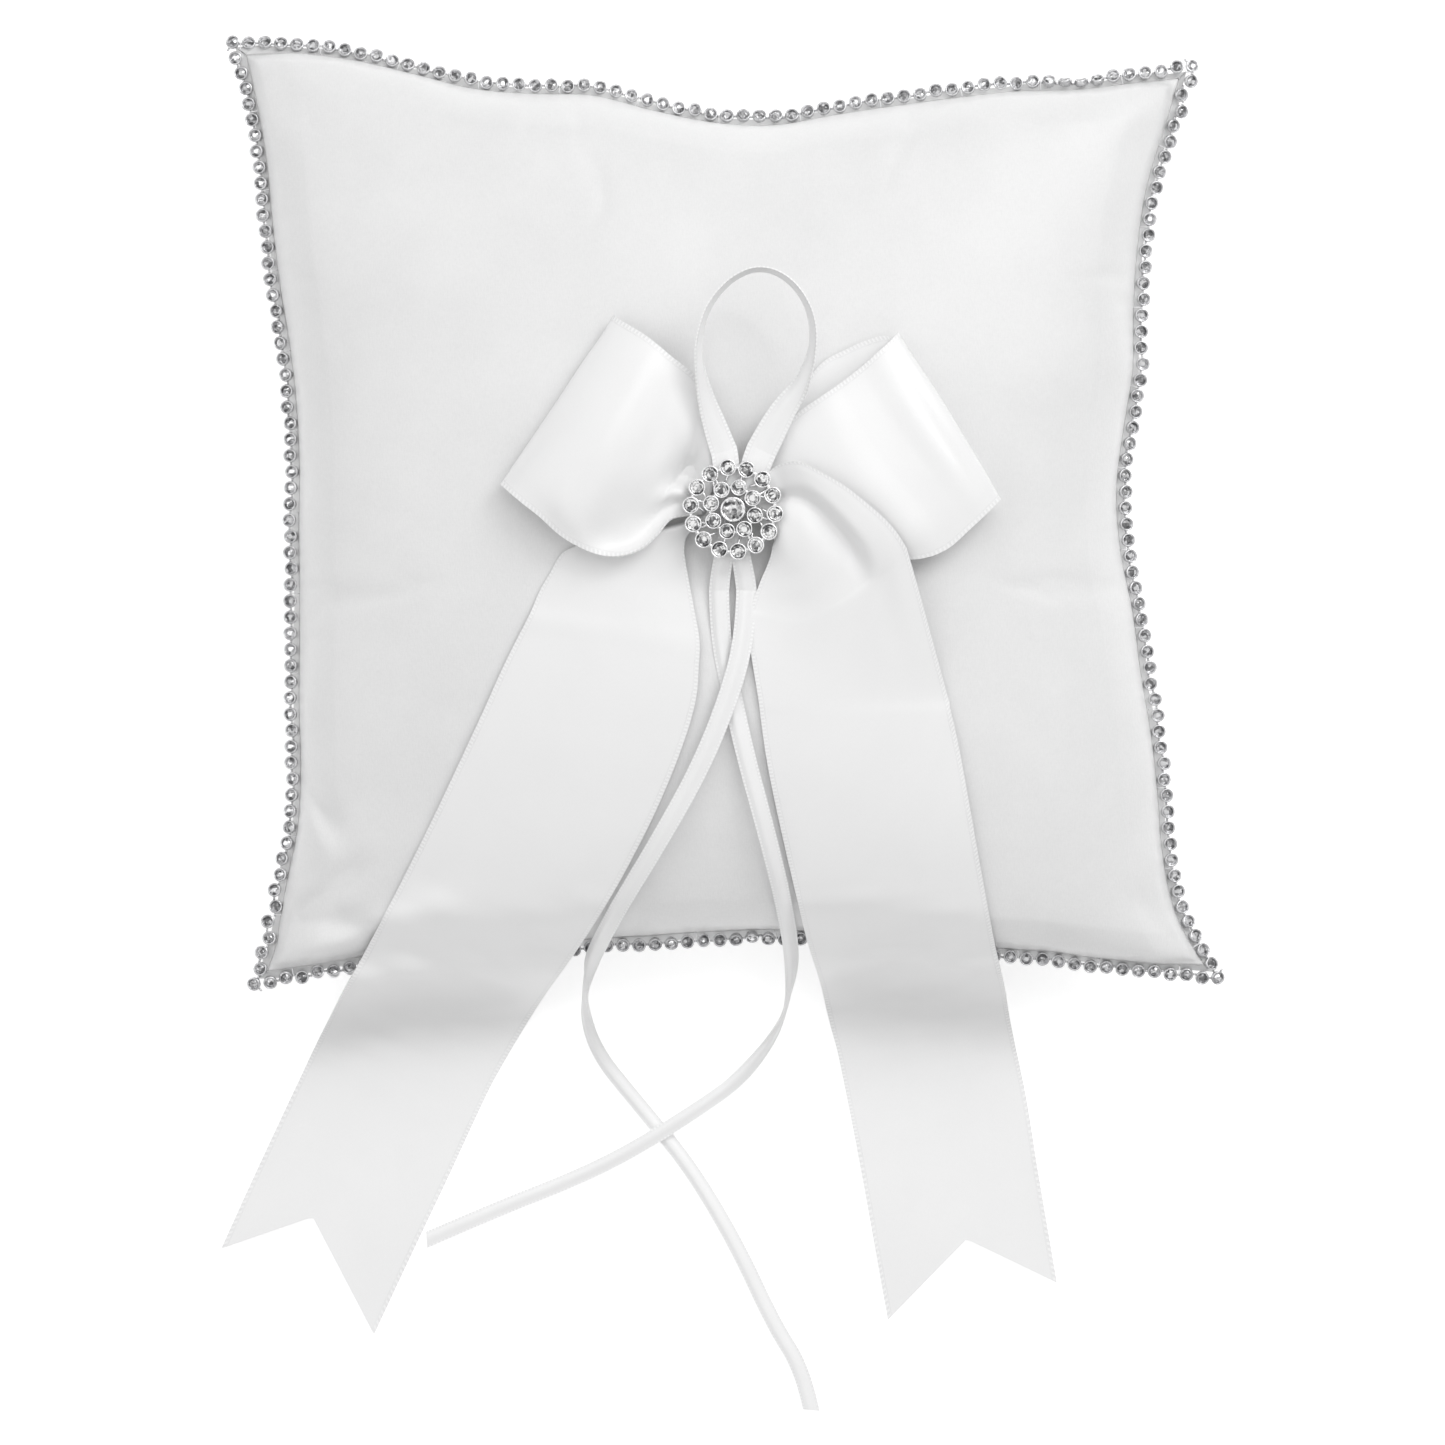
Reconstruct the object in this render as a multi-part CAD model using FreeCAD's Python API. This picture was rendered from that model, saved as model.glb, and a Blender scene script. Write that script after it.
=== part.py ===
import FreeCAD, Part
import math
import os

# Ring bearer pillow: a square satin cushion with a rhinestone edge trim, a
# wide-ribbon bow with two long tails, a narrow ribbon loop with two ties for
# the rings, and a round stone brooch on the knot.
# Millimetres, +Z up. The origin is the middle of the cushion's resting face.
# +Y runs towards the ring loop, and the tails run towards -Y.

os.makedirs("parts", exist_ok=True)
V = FreeCAD.Vector

# ---------------------------------------------------------------- dimensions
SEAM_Z = 24.0          # height of the side seam at mid-edge
SEAM_DROP = 4.0        # how much lower the seam is at the corners
CROWN = 31.5           # rise of the top panel above the seam
BELLY = 30.0           # fall of the bottom panel below the seam, before it meets the table
PANEL_T = 0.6          # panel fabric, measured vertically
DIMPLE = 3.4           # how far the knot pulls the crown down
DIMPLE_R = 14.0
SEAM_INSET = 1.85      # satin edge inside the line of stones

TRIM_PITCH = 3.45      # stone to stone along the banding
CUP_R = 1.42
CUP_H = 1.9
CUP_BORE = 1.12
TRIM_STONE_R = 1.06

WIDE_T = 0.5           # wide satin ribbon, 38 mm across
NARROW_D = 1.2         # stand-in tube of the narrow ribbon, folded lengthwise
HINGE_Y = -15.6        # line where the tails and ties leave the bow
HINGE_GAP = 0.45       # half of the slit between a root and its moving part
LOOP_HINGE_Y = 12.2

KNOT_X, KNOT_Y, KNOT_Z = 1.0, 0.65, 56.4
BROOCH_Z = 60.3        # underside of the brooch
OUTER_RING_R, OUTER_N = 8.8, 14
INNER_RING_R, INNER_N = 4.72, 8
SMALL_CUP_R, SMALL_STONE_R = 1.62, 1.26
CENTRE_CUP_R, CENTRE_STONE_R = 2.62, 2.22

# Line of the rhinestone banding in plan, side by side, corner to corner.
TOP = [(-106.3, 102.2), (-92.63, 101.6), (-79.79, 99.89), (-66.96, 96.9), (-54.12, 93.69), (-41.29, 92.62),
       (-28.45, 92.2), (-15.62, 88.98), (-2.78, 86.42), (10.05, 85.9), (22.89, 88.13), (35.72, 90.05),
       (48.55, 91.76), (61.39, 93.2), (74.22, 93.6), (87.06, 95.19), (99.7, 97.2)]
RIGHT = [(99.7, 97.2), (95.19, 82.99), (91.34, 70.16), (89.41, 57.32), (88.56, 44.49), (88.4, 31.65),
         (86.42, 18.82), (84.9, 5.98), (85.78, -6.85), (88.34, -19.68), (90.05, -32.52), (92.19, -45.35),
         (93.69, -58.19), (94.76, -71.02), (97.54, -83.86), (105.2, -98.6)]
BOTTOM = [(-101.6, -99.8), (-82.79, -96.48), (-70.17, -94.2), (-55.0, -93.2), (-40.22, -92.63), (-25.25, -91.56),
          (-16.69, -91.13), (-8.13, -90.49), (0.42, -90.06), (8.98, -89.85), (30.37, -90.92), (45.0, -92.3),
          (59.25, -93.91), (68.88, -94.55), (77.43, -95.84), (94.55, -97.55), (105.2, -98.6)]
LEFT = [(-101.6, -99.8), (-98.8, -91.35), (-96.48, -78.51), (-93.9, -65.68), (-93.27, -52.84), (-93.6, -40.01),
        (-93.48, -27.17), (-93.48, -14.34), (-93.6, -1.5), (-93.5, 11.33), (-94.13, 24.17), (-95.62, 37.0),
        (-97.7, 49.84), (-99.26, 62.67), (-100.54, 75.51), (-102.68, 88.34), (-106.3, 102.2)]

# Wide tails: outer and inner edge in plan, matched station by station.
LEFT_OUT = [(-14.5, -0.6), (-24.71, -3.49), (-34.75, -8.6), (-38.1, -15.62), (-41.45, -20.84), (-47.0, -31.72),
            (-52.18, -43.02), (-61.99, -63.39), (-71.07, -81.07), (-76.57, -91.2), (-81.47, -99.68),
            (-85.86, -107.18), (-90.15, -115.12), (-98.21, -132.08), (-105.16, -147.08), (-110.16, -158.16)]
LEFT_IN = [(-4.6, -4.3), (-7.2, -8.6), (-7.98, -13.94), (-6.9, -20.63), (-6.0, -26.49), (-7.0, -40.09),
           (-13.24, -57.91), (-22.38, -76.33), (-32.02, -91.87), (-38.86, -101.51), (-42.94, -107.86),
           (-47.35, -115.34), (-52.14, -124.04), (-61.05, -143.17), (-69.09, -160.12), (-76.91, -176.85)]
LEFT_NOTCH = (-89.08, -151.86)
RIGHT_IN = [(8.2, -2.6), (8.9, -6.63), (8.0, -10.81), (7.2, -15.62), (6.6, -20.5), (6.0, -28.5), (6.2, -38.0),
            (8.1, -51.61), (10.9, -65.29), (14.13, -79.13), (17.27, -91.65), (19.83, -99.46), (21.93, -108.31),
            (23.92, -116.0), (27.18, -132.08), (30.0, -147.08), (32.39, -160.55), (34.78, -173.59)]
RIGHT_OUT = [(10.2, 6.6), (22.35, 7.38), (33.4, -2.45), (39.5, -13.94), (40.97, -18.12), (43.29, -26.49),
             (45.6, -36.5), (48.17, -47.42), (50.33, -58.54), (52.83, -71.86), (55.58, -85.65), (57.2, -92.6),
             (59.4, -100.37), (61.21, -108.31), (64.77, -124.91), (67.16, -139.91), (69.55, -154.03), (71.51, -165.55)]
RIGHT_NOTCH = (51.3, -156.2)

# Narrow ties: route of each free end from the hinge line to its cut end.
TIE_A = [(3.9, -16.1, 56.2), (3.6, -25.0, 56.6), (0.9, -36.5, 57.0), (-5.48, -52.66, 55.2), (-14.94, -69.49, 51.2),
         (-25.2, -86.2, 39.5), (-31.6, -99.6, 15.5), (-29.9, -113.81, 1.1), (-19.11, -127.08, 0.9),
         (-8.24, -140.11, 0.9), (1.97, -157.28, 0.9), (10.01, -174.66, 0.9), (16.31, -184.44, 0.9), (18.27, -193.78, 0.9)]
TIE_B = [(-1.9, -16.1, 56.2), (-1.8, -25.0, 55.6), (0.6, -37.0, 54.9), (3.74, -51.0, 54.4), (7.96, -66.34, 51.6),
         (11.9, -82.0, 42.5), (14.3, -97.0, 19.0), (12.0, -109.6, 1.3), (3.06, -121.0, 0.9), (-6.06, -127.42, 2.7),
         (-21.26, -136.97, 2.7), (-33.88, -143.15, 0.9), (-49.52, -149.24, 0.9), (-66.04, -156.41, 0.9)]
RING_LOOP = [(-1.3, 12.7, 60.0), (-3.6, 19.6, 60.9), (-5.5, 27.6, 62.3), (-6.2, 35.4, 63.6), (-4.2, 42.8, 64.8),
             (0.8, 48.6, 65.6), (6.9, 50.9, 65.9), (13.0, 48.2, 65.8), (17.2, 41.8, 65.2), (17.7, 34.0, 64.2),
             (15.2, 26.6, 63.0), (11.6, 20.2, 61.5), (7.9, 12.7, 60.0)]


# ---------------------------------------------------------------- helpers
def catmull(points, n):
    """n+1 points along a smooth line through the given ones, evenly by length."""
    dim = len(points[0])
    p = [tuple(2 * a - b for a, b in zip(points[0], points[1]))] + list(points)
    p.append(tuple(2 * a - b for a, b in zip(points[-1], points[-2])))
    dense = []
    for i in range(1, len(p) - 2):
        for k in range(12):
            t = k / 12.0
            dense.append(tuple(
                0.5 * (2 * p[i][d] + (p[i + 1][d] - p[i - 1][d]) * t
                       + (2 * p[i - 1][d] - 5 * p[i][d] + 4 * p[i + 1][d] - p[i + 2][d]) * t * t
                       + (3 * p[i][d] - p[i - 1][d] - 3 * p[i + 1][d] + p[i + 2][d]) * t ** 3)
                for d in range(dim)))
    dense.append(tuple(points[-1]))
    return even(dense, n)


def even(dense, n):
    run = [0.0]
    for a, b in zip(dense, dense[1:]):
        run.append(run[-1] + math.dist(a, b))
    out, j = [], 0
    for k in range(n + 1):
        s = run[-1] * k / n
        while j < len(run) - 2 and run[j + 1] < s:
            j += 1
        w = (s - run[j]) / max(run[j + 1] - run[j], 1e-9)
        w = min(max(w, 0.0), 1.0)
        out.append(tuple(a + (b - a) * w for a, b in zip(dense[j], dense[j + 1])))
    return out


def stations(points, per):
    """Catmull-Rom with the same number of steps between any two given stations."""
    p = [tuple(2 * a - b for a, b in zip(points[0], points[1]))] + list(points)
    p.append(tuple(2 * a - b for a, b in zip(points[-1], points[-2])))
    out = []
    for i in range(1, len(p) - 2):
        for k in range(per):
            t = k / float(per)
            out.append(tuple(
                0.5 * (2 * p[i][d] + (p[i + 1][d] - p[i - 1][d]) * t
                       + (2 * p[i - 1][d] - 5 * p[i][d] + 4 * p[i + 1][d] - p[i + 2][d]) * t * t
                       + (3 * p[i][d] - p[i - 1][d] - 3 * p[i + 1][d] + p[i + 2][d]) * t ** 3)
                for d in range(len(points[0]))))
    out.append(tuple(points[-1]))
    return out


def inset_line(line, d, left_is_inside):
    out = []
    for i, q in enumerate(line):
        a, b = line[max(i - 1, 0)], line[min(i + 1, len(line) - 1)]
        tx, ty = b[0] - a[0], b[1] - a[1]
        m = math.hypot(tx, ty)
        nx, ny = (-ty / m, tx / m) if left_is_inside else (ty / m, -tx / m)
        out.append((q[0] + nx * d, q[1] + ny * d))
    return out


NS = 96
side_b = inset_line(catmull(BOTTOM, NS), SEAM_INSET, True)
side_t = inset_line(catmull(TOP, NS), SEAM_INSET, False)
side_l = inset_line(catmull(LEFT, NS), SEAM_INSET, False)
side_r = inset_line(catmull(list(reversed(RIGHT)), NS), SEAM_INSET, True)
CORNERS = {"bl": (-98.7, -97.0), "br": (102.0, -95.7), "tl": (-103.2, 99.3), "tr": (96.6, 94.3)}


def pin_ends(line, a, b):
    """Slide the ends of a side onto the shared corner points."""
    n = len(line) - 1
    da = (a[0] - line[0][0], a[1] - line[0][1])
    db = (b[0] - line[n][0], b[1] - line[n][1])
    out = []
    for i, q in enumerate(line):
        wa, wb = max(0.0, 1 - i / 6.0), max(0.0, 1 - (n - i) / 6.0)
        out.append((q[0] + da[0] * wa + db[0] * wb, q[1] + da[1] * wa + db[1] * wb))
    return out


side_b = pin_ends(side_b, CORNERS["bl"], CORNERS["br"])
side_t = pin_ends(side_t, CORNERS["tl"], CORNERS["tr"])
side_l = pin_ends(side_l, CORNERS["bl"], CORNERS["tl"])
side_r = pin_ends(side_r, CORNERS["br"], CORNERS["tr"])


def on(line, t):
    s = min(max(t, 0.0), 1.0) * (len(line) - 1)
    i = min(int(s), len(line) - 2)
    w = s - i
    return (line[i][0] + (line[i + 1][0] - line[i][0]) * w, line[i][1] + (line[i + 1][1] - line[i][1]) * w)


def plan(u, v):
    """Cushion plan: u, v from -1 to 1, a patch stretched between the four seams."""
    s, t = (u + 1) / 2.0, (v + 1) / 2.0
    b, tp, l, r = on(side_b, s), on(side_t, s), on(side_l, t), on(side_r, t)
    out = []
    for k in range(2):
        c = ((1 - s) * (1 - t) * CORNERS["bl"][k] + s * (1 - t) * CORNERS["br"][k]
             + (1 - s) * t * CORNERS["tl"][k] + s * t * CORNERS["tr"][k])
        out.append((1 - t) * b[k] + t * tp[k] + (1 - s) * l[k] + s * r[k] - c)
    return out[0], out[1]


def seam_z(u, v):
    return SEAM_Z - SEAM_DROP * abs(u) ** 3 * abs(v) ** 3


def swell(u, v, p, q):
    a = max(0.0, 1 - min(1.0, abs(u)) ** p)
    b = max(0.0, 1 - min(1.0, abs(v)) ** p)
    return (a * b) ** q


def top_z(u, v):
    x, y = plan(u, v)
    r2 = (x - KNOT_X) ** 2 + (y - KNOT_Y) ** 2
    return (seam_z(u, v) + 0.5 + CROWN * swell(u, v, 2.4, 0.6)
            - DIMPLE * math.exp(-r2 / (2 * DIMPLE_R ** 2)))


def soft_floor(z, floor, w=1.2):
    e = (z - floor) / w
    return floor + w * (e if e > 30 else math.log(1 + math.exp(e)))


def low_z(u, v):
    return seam_z(u, v) - 0.5 - BELLY * swell(u, v, 3.2, 0.6)


def uv_of(x, y):
    u, v = (x + 1.0) / 96.0, (y - 0.5) / 94.0
    for _ in range(14):
        px, py = plan(u, v)
        h = 1e-3
        ax, ay = plan(u + h, v) if u < 0.99 else plan(u - h, v)
        bx, by = plan(u, v + h) if v < 0.99 else plan(u, v - h)
        su, sv = (1 if u < 0.99 else -1), (1 if v < 0.99 else -1)
        a, b = (ax - px) / h * su, (bx - px) / h * sv
        c, d = (ay - py) / h * su, (by - py) / h * sv
        det = a * d - b * c
        if abs(det) < 1e-6:
            break
        ex, ey = x - px, y - py
        u += max(-0.3, min(0.3, (d * ex - b * ey) / det))
        v += max(-0.3, min(0.3, (a * ey - c * ex) / det))
        if abs(ex) + abs(ey) < 1e-4:
            break
    return u, v


def support_z(x, y):
    """Height of whatever lies under a ribbon at a place: cushion, trim or table."""
    u, v = uv_of(max(-150.0, min(150.0, x)), max(-120.0, min(120.0, y)))
    out = max(abs(u), abs(v)) - 1.0
    if out <= 0:
        return max(top_z(u, v), seam_z(u, v) + 1.4 if out > -0.02 else 0.0)
    if y < -120 or abs(x) > 130:
        return 0.0
    d = out * 95.0
    return max(0.0, seam_z(max(-1, min(1, u)), max(-1, min(1, v))) + 1.4 - math.tan(math.radians(70)) * max(0.0, d - 3.4))


def rolled(zs, step, radius):
    """Lowest line over the supports that a ribbon with this bend radius can follow."""
    n, m = len(zs), int(radius / step)
    up = []
    for i in range(n):
        best = -1e9
        for k in range(-m, m + 1):
            j = min(max(i + k, 0), n - 1)
            best = max(best, zs[j] + math.sqrt(max(radius ** 2 - (k * step) ** 2, 0.0)))
        up.append(best)
    out = []
    for i in range(n):
        best = 1e9
        for k in range(-m, m + 1):
            j = min(max(i + k, 0), n - 1)
            best = min(best, up[j] - math.sqrt(max(radius ** 2 - (k * step) ** 2, 0.0)))
        out.append(best)
    return out


def knots_for(n, degree):
    """Clamped, evenly spaced knots and their multiplicities for n poles."""
    inner = n - degree
    return [k / float(inner) for k in range(inner + 1)], [degree + 1] + [1] * (inner - 1) + [degree + 1]


def surface(grid):
    """Smooth surface drawn by a grid of poles, which it follows without overshoot."""
    n, m = len(grid), len(grid[0])
    du, dv = min(3, n - 1), min(3, m - 1)
    ku, mu = knots_for(n, du)
    kv, mv = knots_for(m, dv)
    s = Part.BSplineSurface()
    s.buildFromPolesMultsKnots([[V(*q) for q in row] for row in grid], mu, mv, ku, kv, False, False, du, dv)
    return s


def between(ga, gb):
    """Closed solid between two grids of poles with the same layout, with ruled sides."""
    first = [[row[0] for row in ga], [row[0] for row in gb]]
    last = [[row[-1] for row in ga], [row[-1] for row in gb]]
    grids = [ga, gb, [ga[0], gb[0]], [ga[-1], gb[-1]], first, last]
    shell = Part.makeShell([surface(g).toShape() for g in grids])
    shell.sewShape()
    if shell.ShapeType != "Shell":
        shell = shell.Shells[0]
    solid = Part.makeSolid(shell)
    if solid.Volume < 0:
        solid.reverse()
    return solid


def sheet(grid, t):
    """A thin closed solid of thickness t about a grid of points."""
    n, m = len(grid), len(grid[0])
    hi, lo = [], []
    for i in range(n):
        ra, rb = [], []
        for j in range(m):
            a, b = V(*grid[max(i - 1, 0)][j]), V(*grid[min(i + 1, n - 1)][j])
            c, d = V(*grid[i][max(j - 1, 0)]), V(*grid[i][min(j + 1, m - 1)])
            nn = (b - a).cross(d - c)
            nn.normalize()
            p = V(*grid[i][j])
            ra.append(tuple(p + nn * (t / 2)))
            rb.append(tuple(p - nn * (t / 2)))
        hi.append(ra)
        lo.append(rb)
    return between(hi, lo)


made = {}


def put(name, shape):
    shape = shape if shape.ShapeType == "Compound" else shape
    solids = shape.Solids
    bad = [i for i, s in enumerate(solids) if not s.isValid() or s.Volume <= 0]
    b = shape.optimalBoundingBox(False, False)
    print("%-24s solids %3d  volume %10.2f  x %.1f..%.1f y %.1f..%.1f z %.2f..%.2f %s" % (
        name, len(solids), shape.Volume, b.XMin, b.XMax, b.YMin, b.YMax, b.ZMin, b.ZMax, "BAD %s" % bad[:4] if bad else ""))
    shape.exportStep("parts/%s.step" % name)
    made[name] = shape


def group(solids):
    return Part.makeCompound(list(solids))


# ---------------------------------------------------------------- the cushion
N = 26


def panel_grid(fn, k=1.0):
    grid = []
    for i in range(N + 1):
        u = k * math.sin(math.pi * (i / N - 0.5))
        row = []
        for j in range(N + 1):
            v = k * math.sin(math.pi * (j / N - 0.5))
            x, y = plan(u, v)
            row.append((x, y, fn(u, v)))
        grid.append(row)
    return grid


def top_in(u, v):
    return top_z(u, v) - PANEL_T + 0.15


def low_out(u, v):
    return soft_floor(low_z(u, v), -0.35)


def low_in(u, v):
    return soft_floor(low_z(u, v) + PANEL_T - 0.15, 0.4)


front = between(panel_grid(top_z), panel_grid(top_in))
put("pillow_front_panel", front)
back = between(panel_grid(low_in), panel_grid(low_out))
above = Part.makeBox(300, 300, 60, V(-150, -150, 0))
back = back.common(above)
back = max(back.Solids, key=lambda s: s.Volume)
flat = [f for f in back.Faces if isinstance(f.Surface, Part.Plane) and f.BoundBox.ZMax < 0.01]
print("resting face", [round(f.Area) for f in flat])
put("pillow_back_panel", back)
FILL_K = 0.965         # the filling stops this short of the seams
FILL_GAP = 0.7         # and this far under the fabric, measured vertically


def fill_grid(fn, up):
    """Grid under a panel: the panel's own height at each place, less the gap."""
    grid = []
    for i in range(N + 1):
        u = FILL_K * math.sin(math.pi * (i / N - 0.5))
        row = []
        for j in range(N + 1):
            v = FILL_K * math.sin(math.pi * (j / N - 0.5))
            x, y = plan(u, v)
            mid = seam_z(u, v)
            z = fn(u, v)
            edge = max(abs(u), abs(v)) / FILL_K
            room = FILL_GAP + 0.9 * max(0.0, (edge - 0.8) / 0.2)
            row.append((x, y, max(z - room, mid + 0.3) if up else min(z + room, mid - 0.3)))
        grid.append(row)
    return grid


fill = between(fill_grid(top_in, True), fill_grid(low_in, False))
put("fibre_filling", fill)

# Hand-sewn ladder stitches that close the turning gap in the left seam.
stitches = []
for k in range(12):
    t = 0.48 + 0.012 * k
    x, y = on(side_l, t)
    z = seam_z(-1, 2 * t - 1)
    bar = Part.makeCylinder(0.14, 1.1, V(x + 0.4, y, z - 0.55), V(0, 0, 1))
    stitches.append(bar)
put("closing_stitches", group(stitches))

# ---------------------------------------------------------------- rhinestone banding
ring, length = [], 0.0
for side in (BOTTOM, list(reversed(RIGHT)), list(reversed(TOP)), list(reversed(LEFT))):
    # anticlockwise, with one stone exactly on each corner
    if side is not BOTTOM and math.dist(side[0], last) > 1.0:
        side = list(reversed(side))
    line = catmull(side, 90)
    run = sum(math.dist(a, b) for a, b in zip(line, line[1:]))
    length += run
    ring += even(line, int(round(run / TRIM_PITCH)))[:-1]
    last = side[-1]
BEADS = len(ring)
cup = Part.makeCylinder(CUP_R, CUP_H).cut(Part.makeCylinder(CUP_BORE, CUP_H, V(0, 0, 0.55)))
link = Part.makeBox(0.62, 0.5, 0.5, V(CUP_R - 0.08, -0.25, 0.3))
cup = cup.fuse(link).removeSplitter()
stone = Part.makeCone(0.15, TRIM_STONE_R, 0.75, V(0, 0, 0.56)).fuse(
    Part.makeCone(TRIM_STONE_R, 0.62, 0.42, V(0, 0, 1.31)))
cups, stones, threads = [], [], []
half = Part.makeTorus(1.0, 0.13, V(0, 0, 0), V(0, 1, 0), 0, 360, 360)
keep = Part.makeBox(4, 4, 4, V(-2, -2, 0))
half = half.common(keep)
for k, (x, y) in enumerate(ring):
    a, b = ring[k - 1], ring[(k + 1) % BEADS]
    yaw = math.degrees(math.atan2(b[1] - a[1], b[0] - a[0]))
    u, v = uv_of(x, y)
    z = seam_z(max(-1, min(1, u)), max(-1, min(1, v))) - 0.95
    place = FreeCAD.Placement(V(x, y, z), FreeCAD.Rotation(V(0, 0, 1), yaw))
    c = cup.copy()
    c.Placement = place
    cups.append(c)
    s = stone.copy()
    s.Placement = place
    stones.append(s)
    if k % 5 == 2:
        nx, ny = ring[(k + 1) % BEADS]
        mx, my = (x + nx) / 2, (y + ny) / 2
        t = half.copy()
        # the thread spans the link and dives into the satin edge
        t.Placement = FreeCAD.Placement(V(mx, my, z + 0.35), FreeCAD.Rotation(V(0, 0, 1), yaw + 90))
        threads.append(t)
print("stones in the banding", BEADS, "length", round(length, 1))
put("trim_settings", group(cups))
put("trim_stones", group(stones))
put("trim_stitches", group(threads))

# ---------------------------------------------------------------- wide tails
ACROSS = 9


def tail_grid(outer, inner, per, root_z, drop=0):
    o, i_ = stations(outer, per), stations(inner, per)
    grid = []
    n = len(o)
    cols = []
    for j in range(ACROSS):
        w = j / (ACROSS - 1.0)
        line = [(o[k][0] + (i_[k][0] - o[k][0]) * w, o[k][1] + (i_[k][1] - o[k][1]) * w) for k in range(n)]
        fine = even(line, 170)
        step = sum(math.dist(a, b) for a, b in zip(line, line[1:])) / 170.0
        near = ((0, 0), (1.3, 0), (-1.3, 0), (0, 1.3), (0, -1.3))
        z = rolled([max(support_z(x + a, y + b) for a, b in near) for x, y in fine], step, 15.0)
        for _ in range(3):
            z = [z[0]] + [(z[q - 1] + 2 * z[q] + z[q + 1]) / 4 for q in range(1, len(z) - 1)] + [z[-1]]
        run, col = 0.0, []
        for k in range(n):
            if k:
                run += math.dist(line[k], line[k - 1])
            f = min(run / step, 169.999)
            q = int(f)
            zz = z[q] + (z[q + 1] - z[q]) * (f - q)
            x, y = line[k]
            lift = root_z(x, y, w)
            col.append((x, y, max(zz + 0.9, lift)))
        cols.append(col)
    cols = [catmull(col, 56) for col in cols]
    for k in range(57):
        grid.append([cols[j][k] for j in range(ACROSS)])
    return grid


def fade(x, a, b):
    t = min(max((x - a) / (b - a), 0.0), 1.0)
    return t * t * (3 - 2 * t)


def left_root(x, y, w):
    # leaves the knot low, under the loop
    return 54.6 * (1 - fade(-y, 6.0, 13.0)) if y > -13 else 0.0


def right_root(x, y, w):
    # climbs over the lower half of the right loop, then comes down to the cushion
    over = 65.4 - 9.0 * fade(x, 27, 40)
    near = 58.6
    z = near + (over - near) * fade(math.hypot(x - KNOT_X, y - KNOT_Y), 12.4, 17.5)
    down = fade(-y, -1.0, 14.6)
    return z + (54.9 - z) * down if y > -14.6 else 0.0


def swallow(outer, notch, inner):
    a, b, c = V(*outer, -5), V(*notch, -5), V(*inner, -5)
    m = (a + c) * 0.5
    d = (m - b)
    d.normalize()
    far1, far2 = a + d * 30, c + d * 30
    face = Part.Face(Part.makePolygon([a, b, c, far2, far1, a]))
    return face.extrude(V(0, 0, 80))


def split(solid, keep_low):
    if keep_low:
        box = Part.makeBox(400, 300, 300, V(-200, HINGE_Y - HINGE_GAP - 300, -100))
    else:
        box = Part.makeBox(400, 300, 300, V(-200, HINGE_Y + HINGE_GAP, -100))
    part = solid.common(box)
    return max(part.Solids, key=lambda s: s.Volume)


g_left = tail_grid(LEFT_OUT, LEFT_IN, 3, left_root)
t_left = sheet(g_left, WIDE_T).cut(swallow(LEFT_OUT[-1], LEFT_NOTCH, LEFT_IN[-1]))
put("bow_tail_left_root", split(t_left, False))
put("bow_tail_left", split(t_left, True))
g_right = tail_grid(RIGHT_OUT, RIGHT_IN, 3, right_root)
t_right = sheet(g_right, WIDE_T).cut(swallow(RIGHT_OUT[-1], RIGHT_NOTCH, RIGHT_IN[-1]))
put("bow_tail_right_root", split(t_right, False))
put("bow_tail_right", split(t_right, True))

# ---------------------------------------------------------------- bow loops
# (fraction along, lower edge x y, upper edge x y) of the under and the upper layer.
LEFT_UNDER = [((-5.4, 0.9), (-5.2, 4.6)), ((-13.0, -0.2), (-8.6, 14.5)), ((-22.0, 0.3), (-12.5, 24.5)),
              ((-31.5, 2.0), (-17.2, 32.5)), ((-40.0, 4.2), (-21.0, 37.5)), ((-45.0, 5.4), (-23.3, 39.8))]
LEFT_OVER = [((-46.2, 5.6), (-23.6, 40.3)), ((-43.2, 3.2), (-21.6, 39.6)), ((-36.5, -3.0), (-16.5, 37.0)),
             ((-29.5, -7.6), (-11.6, 34.4)), ((-22.5, -7.2), (-8.6, 28.0)), ((-14.5, -2.2), (-7.4, 17.5)),
             ((-6.6, 1.2), (-6.2, 5.0))]
RIGHT_UNDER = [((7.4, -0.4), (7.4, 4.4)), ((14.5, -1.2), (12.0, 17.5)), ((24.0, -3.2), (18.2, 30.0)),
               ((34.5, -6.0), (25.0, 34.6)), ((46.5, -3.2), (31.6, 37.2)), ((54.0, 1.6), (34.9, 37.0))]
RIGHT_OVER = [((55.4, 2.6), (34.9, 36.0)), ((52.0, 0.0), (31.6, 33.6)), ((46.0, -3.4), (26.8, 29.6)),
              ((37.0, -4.6), (21.4, 25.6)), ((27.0, -3.6), (16.2, 21.4)), ((16.5, -1.6), (11.2, 14.6)),
              ((8.2, 0.0), (8.0, 4.8))]


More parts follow.
